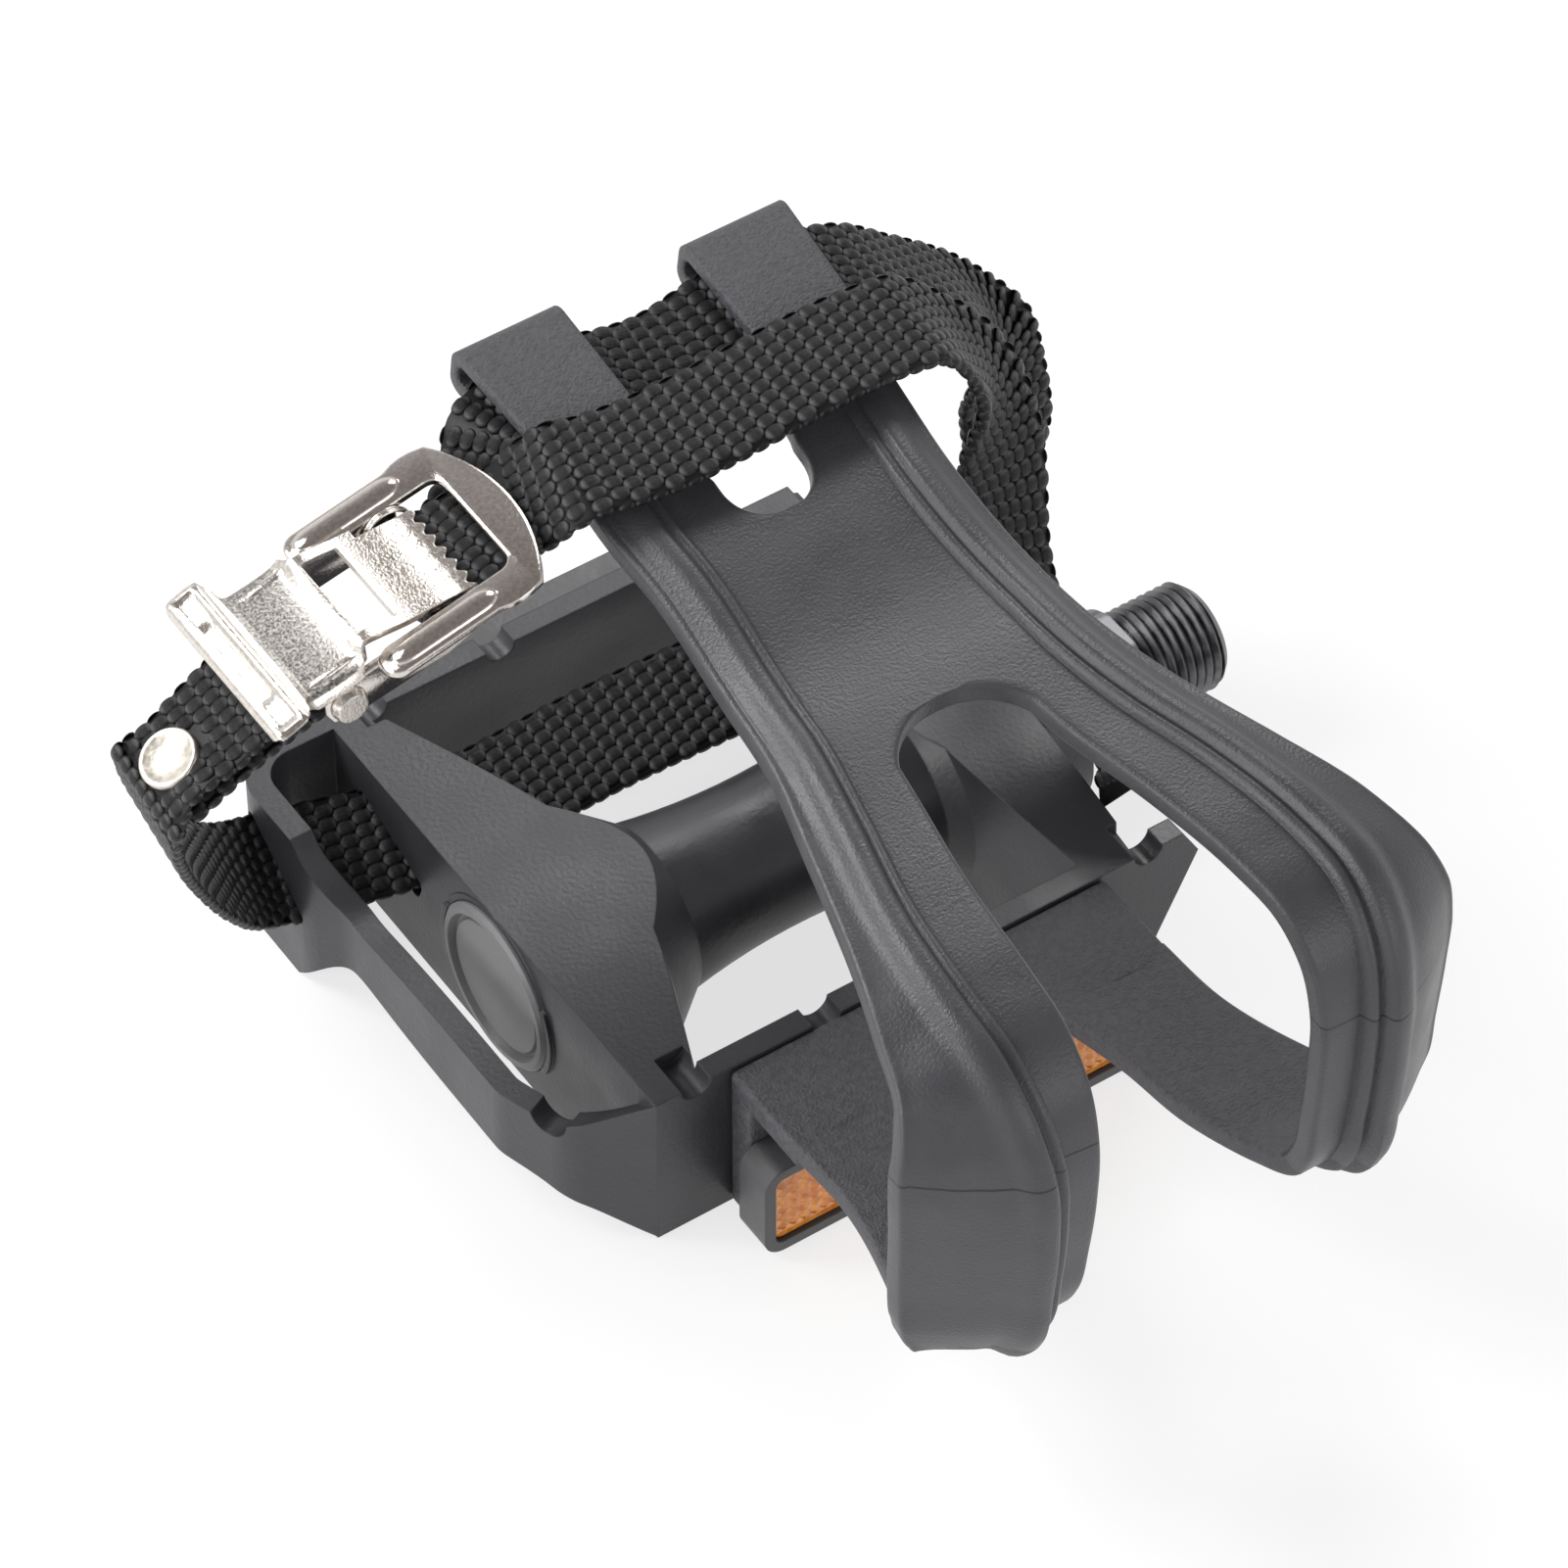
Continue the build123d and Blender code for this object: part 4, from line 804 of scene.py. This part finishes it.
def weaveTree():
    tree, entry, out = newTree("weave")
    keys = [treeSocket(tree, name, "NodeSocketObject") for name in ("Knot", "Core")]
    knot = addNode(tree, "GeometryNodeObjectInfo", {"Object": entry.outputs["Knot"]})
    core = addNode(tree, "GeometryNodeObjectInfo", {"Object": entry.outputs["Core"]})
    turn, size = (addNode(tree, "GeometryNodeInputNamedAttribute", {"Name": name}, data_type="FLOAT_VECTOR")
                  for name in ("turn", "size"))
    spread = addNode(tree, "GeometryNodeInstanceOnPoints", {
        "Points": entry.outputs["Geometry"], "Instance": knot.outputs["Geometry"],
        "Rotation": turn.outputs["Attribute"], "Scale": size.outputs["Attribute"],
    })
    both = addNode(tree, "GeometryNodeJoinGeometry", {0: spread.outputs[0]})
    feed(tree, both, {0: core.outputs["Geometry"]})
    closeTree(tree, both.outputs[0], out, finish["yarn"])
    return tree, keys


def vectorAttribute(obj, name, rows):
    layer = obj.data.attributes.new(name, "FLOAT_VECTOR", "POINT")
    layer.data.foreach_set("vector", np.array(rows, float).ravel())


def makeStrap():
    table = strapFrame()
    spots, turns, sizes = knotPlaces(table)
    strap = meshObject("toeStrap", spots, [])
    vectorAttribute(strap, "turn", turns)
    vectorAttribute(strap, "size", sizes)
    knot, core = knotMesh("knot"), coreRibbon(table)
    tree, keys = weaveTree()
    grow(strap, tree, dict(zip(keys, (knot, core))))
    for helper in (knot, core):
        bpy.data.objects.remove(helper)
    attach(strap, "cage")
    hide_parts("toe_strap")
    print("strap made", round(table[0][-1], 1), "mm,", len(spots), "knots")


makeStrap()

# Buckle
frameSpec = {
    "half": 13.0, "waist": 12.4, "waistFrom": 9.6, "length": 24.0, "bar": 5.0, "window": 8.0, "sheet": 1.2,
    "edge": 0.34, "corner": 1.6, "endRound": 2.1, "endRise": 4.2, "endStop": 0.6, "endSteps": 12,
    "shoulder": ((5.6, -0.1), (7.0, 0), (8.2, -0.15)), "ribU": (8.6, 23.0), "ribAside": 10.3,
    "ribHalf": 1.55, "ribRise": 0.75, "ribSink": 0.02, "ribSteps": (41, 13), "ribTaper": 1.6,
    "ribTip": 0.0004,
    "flange": ((10.5, -0.3), (30.6, -0.3), (31.4, -1.2), (31.7, -3.0), (31.2, -4.8), (30.0, -5.8),
               (16, -6.0), (11, -5)),
    "flangeFrom": 8.2, "flangeTo": 9.4,
}
leverSpec = {
    "line": ((39.0, 1.2), (38.4, 1.75), (36.6, 2.2), (34.8, 2.4), (33.6, 2.1), (32.4, 1.8), (30.4, 1.68),
             (28.2, 1.68), (26.6, 1.85), (25.0, 2.4), (23.6, 2.45), (22.0, 2.1), (18.6, 1.2), (14.0, 0.4),
             (11.0, -0.2), (9.5, -0.3)),
    "half": ((39.0, 10.9), (38.85, 11.6), (38.4, 12.15), (37.8, 12.45), (37.0, 12.5), (35.6, 12.5),
             (34.7, 12.4), (34.1, 11.9), (33.7, 11.0), (33.3, 10.0), (32.6, 9.8), (26.2, 9.8), (25.5, 9.4),
             (25.0, 8.2), (24.4, 7.6), (9.5, 7.6)),
    "sheet": 0.9, "edge": 0.2, "edgeAngle": 60, "step": 0.22, "middle": 6.2, "middleColumns": 56,
    "sideColumns": 8, "window": (19.2, 23.9), "notch": 16.8, "saddle": (24.2, 26.0, 32.4, 33.6),
    "saddleDrop": 0.75, "skirt": 9.3, "skirtBend": (9.2, 9.8), "skirtDrop": 1.5, "tooth": 2.2,
    "toothDepth": 0.8, "toothRun": 2.4, "tab": (34.0, 39.0, 12.5), "rim": (0.4, 1.0, 1.5), "rimRise": 0.4,
    "slot": (36.5, 0.95, 7.0), "slotDepth": 0.55, "slotEdge": 0.3,
    "ear": ((25.4, 1.6), (32.4, 1.2), (31.4, -2.4), (30.2, -4.7), (27.6, -4.7), (26.6, -2.4)),
    "earFrom": 7.15, "earTo": 8.0, "grainFrom": 26.4, "grainTo": 33.2, "grainHalf": 9.2,
}


def arcPoints(centre, radius, start, end, count=7):
    return [(centre[0] + radius * math.cos(a), centre[1] + radius * math.sin(a))
            for a in np.radians(np.linspace(start, end, count))]


def frameOutline():
    half, bar, window = frameSpec["half"], frameSpec["bar"], frameSpec["window"]
    end, turn, corner = frameSpec["length"], frameSpec["endRound"], frameSpec["corner"]
    rise, waist = frameSpec["endRise"], frameSpec["waist"]
    bow = (half**2 + rise**2) / (2 * rise)
    reach = math.degrees(math.asin((half - frameSpec["endStop"]) / bow))
    side = arcPoints((bow, 0), bow, 180, 180 - reach, frameSpec["endSteps"])
    side += [(u, half + out) for u, out in frameSpec["shoulder"]]
    side.append((frameSpec["waistFrom"], waist))
    side += arcPoints((end - turn, waist - turn), turn, 90, 0)
    side += arcPoints((end - turn, window + turn), turn, 0, -90)
    side += arcPoints((bar + corner, window - corner), corner, 90, 180)
    return side + [(u, -aside) for u, aside in reversed(side[1:])]


def ribMesh(side):
    start, stop = frameSpec["ribU"]
    half, rise = frameSpec["ribHalf"], frameSpec["ribRise"]
    rows, columns = frameSpec["ribSteps"]
    along = np.linspace(start, stop, rows)
    ends = np.minimum(along - start, stop - along)
    inward = 1 - np.clip(ends / (frameSpec["ribTaper"] * half), 0, 1)
    taper = np.sqrt(np.clip(1 - inward**2, frameSpec["ribTip"], 1))
    bend = np.radians(np.linspace(0, 180, columns))
    middle, sink = side * frameSpec["ribAside"], frameSpec["ribSink"]
    verts = [bucklePlace(u, middle + half * t * math.cos(a), rise * t * math.sin(a) - sink)
             for u, t in zip(along, taper) for a in bend]
    return meshObject("rib", verts, ringFaces(rows, columns, False))


def sidePlate(name, spec, key, side):
    near, far = side * spec[key + "From"], side * spec[key + "To"]
    return softPlate(name, spec[key], near, far, spec["edge"], lambda u, w, aside: bucklePlace(u, aside, w))


def makeFrame():
    body = softPlate("buckleFrame", frameOutline(), -frameSpec["sheet"], 0, frameSpec["edge"], bucklePlace)
    extras = []
    for side in (1, -1):
        rib = ribMesh(side)
        cleanMesh(rib)
        extras += [rib, sidePlate("cheek", frameSpec, "flange", side)]
    joinInto(body, extras)
    body.data.materials.append(finish["frameNickel"])
    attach(body, "cage")
    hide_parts("buckle_frame")
    print("buckle frame made", len(body.data.polygons))


def leverLift(u, aside):
    spec = leverSpec
    low, lowFull, highFull, high = spec["saddle"]
    saddle = softStep(u, low, lowFull) * (1 - softStep(u, highFull, high))
    lift = -saddle * spec["saddleDrop"] * (abs(aside) / spec["skirt"])**2
    lift -= saddle * spec["skirtDrop"] * softStep(abs(aside), *spec["skirtBend"])
    start, end, half = spec["tab"]
    inside = min(u - start, end - u, half - abs(aside))
    if inside > 0:
        rise, fall, foot = spec["rim"]
        lift += spec["rimRise"] * softStep(inside, 0, rise) * (1 - softStep(inside, fall, foot))
    middle, wide, long = spec["slot"]
    deep = min(wide - abs(u - middle), long - abs(aside))
    return lift - spec["slotDepth"] * softStep(deep, 0.0, spec["slotEdge"])


def leverSheet():
    spec = leverSpec
    line, width = np.array(spec["line"][::-1]), np.array(spec["half"][::-1])
    knots = np.concatenate([[0], np.cumsum(np.linalg.norm(np.diff(line, axis=0), axis=1))])
    slope = np.gradient(line, knots, axis=0)
    rows = hermite(line, slope, knots, np.arange(0, knots[-1], spec["step"]))
    verts, faces = [], []
    middle = np.linspace(-spec["middle"], spec["middle"], spec["middleColumns"] + 1)
    for u, w in rows:
        half = np.interp(u, width[:, 0], width[:, 1])
        outer = np.linspace(spec["middle"], half, spec["sideColumns"] + 1)[1:]
        for aside in (*-outer[::-1], *middle, *outer):
            bite = 0.5 + 0.5 * math.cos(2 * math.pi * aside / spec["tooth"])
            near = max(0.0, 1 - (u - line[0, 0]) / spec["toothRun"])
            place = u + spec["toothDepth"] * bite * near
            verts.append((place, aside, w + leverLift(u, aside)))
    columns = len(verts) // len(rows)
    low, high = spec["window"]
    for face in ringFaces(len(rows), columns, False):
        centre = np.mean([verts[v] for v in face], axis=0)
        windowFace = low < centre[0] < high and abs(centre[1]) < spec["middle"]
        notchFace = centre[0] < spec["notch"] and centre[1] > spec["middle"]
        if not (windowFace or notchFace):
            faces.append(face)
    return [bucklePlace(*v) for v in verts], faces


def makeLever():
    lever = meshObject("buckleLever", *leverSheet())
    solid = lever.modifiers.new("solid", "SOLIDIFY")
    solid.thickness = leverSpec["sheet"] * mm
    solid.offset = -1
    soft = lever.modifiers.new("soft", "BEVEL")
    soft.width = leverSpec["edge"] * mm
    soft.segments = 2
    soft.angle_limit = math.radians(leverSpec["edgeAngle"])
    applyModifiers(lever)
    cleanMesh(lever)
    ears = [sidePlate("ear", leverSpec, "ear", side) for side in (1, -1)]
    for name in ("nickel", "grainNickel"):
        lever.data.materials.append(finish[name])
    for face in lever.data.polygons:
        u, aside = buckleSpot(face.center / mm)
        inSaddle = leverSpec["grainFrom"] < u < leverSpec["grainTo"] and abs(aside) < leverSpec["grainHalf"]
        face.material_index = int(inSaddle)
    for ear in ears:
        ear.data.materials.append(finish["nickel"])
    joinInto(lever, ears)
    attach(lever, "lever")
    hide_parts("buckle_lever")
    print("lever made", len(lever.data.polygons))


# Rivet, by radius and height over the strap's middle
rivetSpec = {
    "u": 47.6, "w": -6.65, "slope": 15.5, "sides": 64,
    "dish": 3.25, "low": 0.95, "high": 1.7, "dishRings": 12,
    "rim": ((3.45, 1.7), (3.6, 1.58), (3.7, 1.36), (3.7, 0.85), (1.4, 0.85), (1.4, -3.55), (2.1, -3.55),
            (1.4, -4.2), (0, -4.2)),
}


def makeRivet():
    slope = math.radians(rivetSpec["slope"])
    dish = np.linspace(0, rivetSpec["dish"], rivetSpec["dishRings"])
    rise = rivetSpec["high"] - rivetSpec["low"]
    profile = [(r, rivetSpec["low"] + rise * (r / rivetSpec["dish"])**2) for r in dish]
    verts = []
    for radius, height in (*profile, *rivetSpec["rim"]):
        for k in range(rivetSpec["sides"]):
            a = 2 * math.pi * k / rivetSpec["sides"]
            along = radius * math.cos(a)
            verts.append(bucklePlace(rivetSpec["u"] + along * math.cos(slope) + height * math.sin(slope),
                                     radius * math.sin(a),
                                     rivetSpec["w"] - along * math.sin(slope) + height * math.cos(slope)))
    rivet = meshObject("strapRivet", verts, ringFaces(len(verts) // rivetSpec["sides"], rivetSpec["sides"]))
    cleanMesh(rivet)
    rivet.data.materials.append(finish["satinNickel"])
    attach(rivet, "cage")
    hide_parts("strap_rivet")
    print("rivet made", len(rivet.data.polygons))


# Spring, hung on the roller pin
springSpec = {"at": (12.6, 7.0, -2.7), "radius": 2.9, "wire": 0.22, "sides": 10, "pitch": 0.46,
              "length": 0.92, "perTurn": 48}


def makeSpring():
    spring = meshObject("leverSpring", [], [])
    spot, turned = bucklePlace(*springSpec["at"]), (-math.pi / 2, 0, 0)
    grow(spring, coilTree("spring", springSpec, spot, turned, finish["nickel"]), {})
    cleanMesh(spring)
    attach(spring, "cage")
    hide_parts("lever_spring")
    print("spring made", len(spring.data.polygons))


makeFrame()
makeLever()
makeRivet()
makeSpring()

# Spindle
spindleSpec = {
    "profile": (
        (11.0, 0), (11.0, 5.9), (10.1, 6.75), (9.9, 6.2), (0.4, 6.2), (0.0, 6.0), (-0.8, 6.3), (-0.8, 7.9),
        (-1.3, 8.4), (-8.6, 8.4), (-9.0, 8.0), (-9.0, 7.0), (-17.8, 7.0), (-19.7, 5.3), (-26.0, 5.3),
        (-76.0, 4.4), (-76.0, 4.0), (-89.0, 4.0), (-89.6, 3.4), (-89.6, 0),
    ),
    "sides": 96, "flat": 7.5, "flatFrom": -9.0, "flatTo": -0.8, "sharpFrom": 30,
    "thread": {"radius": 6.565, "wire": 0.58, "sides": 4, "pitch": 1.27, "length": 10.2, "perTurn": 72},
}


def makeSpindle():
    sides, profile = spindleSpec["sides"], spindleSpec["profile"]
    verts = []
    for x, radius in profile:
        for k in range(sides):
            a = 2 * math.pi * k / sides
            y, z = radius * math.cos(a), radius * math.sin(a)
            if spindleSpec["flatFrom"] <= x <= spindleSpec["flatTo"] and radius > spindleSpec["flat"]:
                z = max(-spindleSpec["flat"], min(spindleSpec["flat"], z))
            verts.append((x, y, z))
    axle = meshObject("spindleShown", verts, ringFaces(len(profile), sides))
    turned = (0, math.pi / 2, 0)
    grow(axle, coilTree("thread", spindleSpec["thread"], (0, 0, 0), turned, finish["spindleSteel"]), {})
    cleanMesh(axle, spindleSpec["sharpFrom"])
    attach(axle, "spindle")
    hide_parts("spindle")
    print("spindle made", len(axle.data.polygons))


makeSpindle()

# Lenses with rows of small prisms
prismSpec = {"pitch": 1.45, "spread": 0.7, "height": 0.45, "margin": 1.2}


def prismTree():
    tree, entry, out = newTree("prisms")
    faceKey = treeSocket(tree, "Side", "NodeSocketFloat")
    prism = addNode(tree, "GeometryNodeMeshCone", {
        "Vertices": 4, "Radius Top": 0, "Radius Bottom": prismSpec["spread"] * prismSpec["pitch"] * mm,
        "Depth": prismSpec["height"] * mm,
    })
    quarter = {0: entry.outputs["Side"], 1: math.pi / 2}
    tilt = addNode(tree, "ShaderNodeMath", quarter, operation="MULTIPLY")
    turn = addNode(tree, "ShaderNodeCombineXYZ", {"X": tilt.outputs[0]})
    spread = addNode(tree, "GeometryNodeInstanceOnPoints", {
        "Points": entry.outputs["Geometry"], "Instance": prism.outputs["Mesh"], "Rotation": turn.outputs[0],
    })
    closeTree(tree, spread.outputs[0], out, finish["amberLens"])
    return tree, faceKey


def makeLens(name, nodeName, side, tree, faceKey):
    low, high = (np.array(corner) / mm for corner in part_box(nodeName))
    face = low[1] if side > 0 else high[1]
    pitch, margin = prismSpec["pitch"], prismSpec["margin"]
    wide = int((high[0] - low[0] - margin) / pitch)
    tall = int((high[2] - low[2] - margin) / pitch)
    middle = (low + high) / 2
    spots = [(middle[0] + (i - (wide - 1) / 2) * pitch, face, middle[2] + (k - (tall - 1) / 2) * pitch)
             for i in range(wide) for k in range(tall)]
    prisms = meshObject(name, spots, [])
    grow(prisms, tree, {faceKey: float(side)})
    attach(prisms, "cage")


prisms, faceKey = prismTree()
makeLens("frontPrisms", "reflector_lens", 1, prisms, faceKey)
makeLens("rearPrisms", "rear_reflector_lens", -1, prisms, faceKey)
print("lenses made")
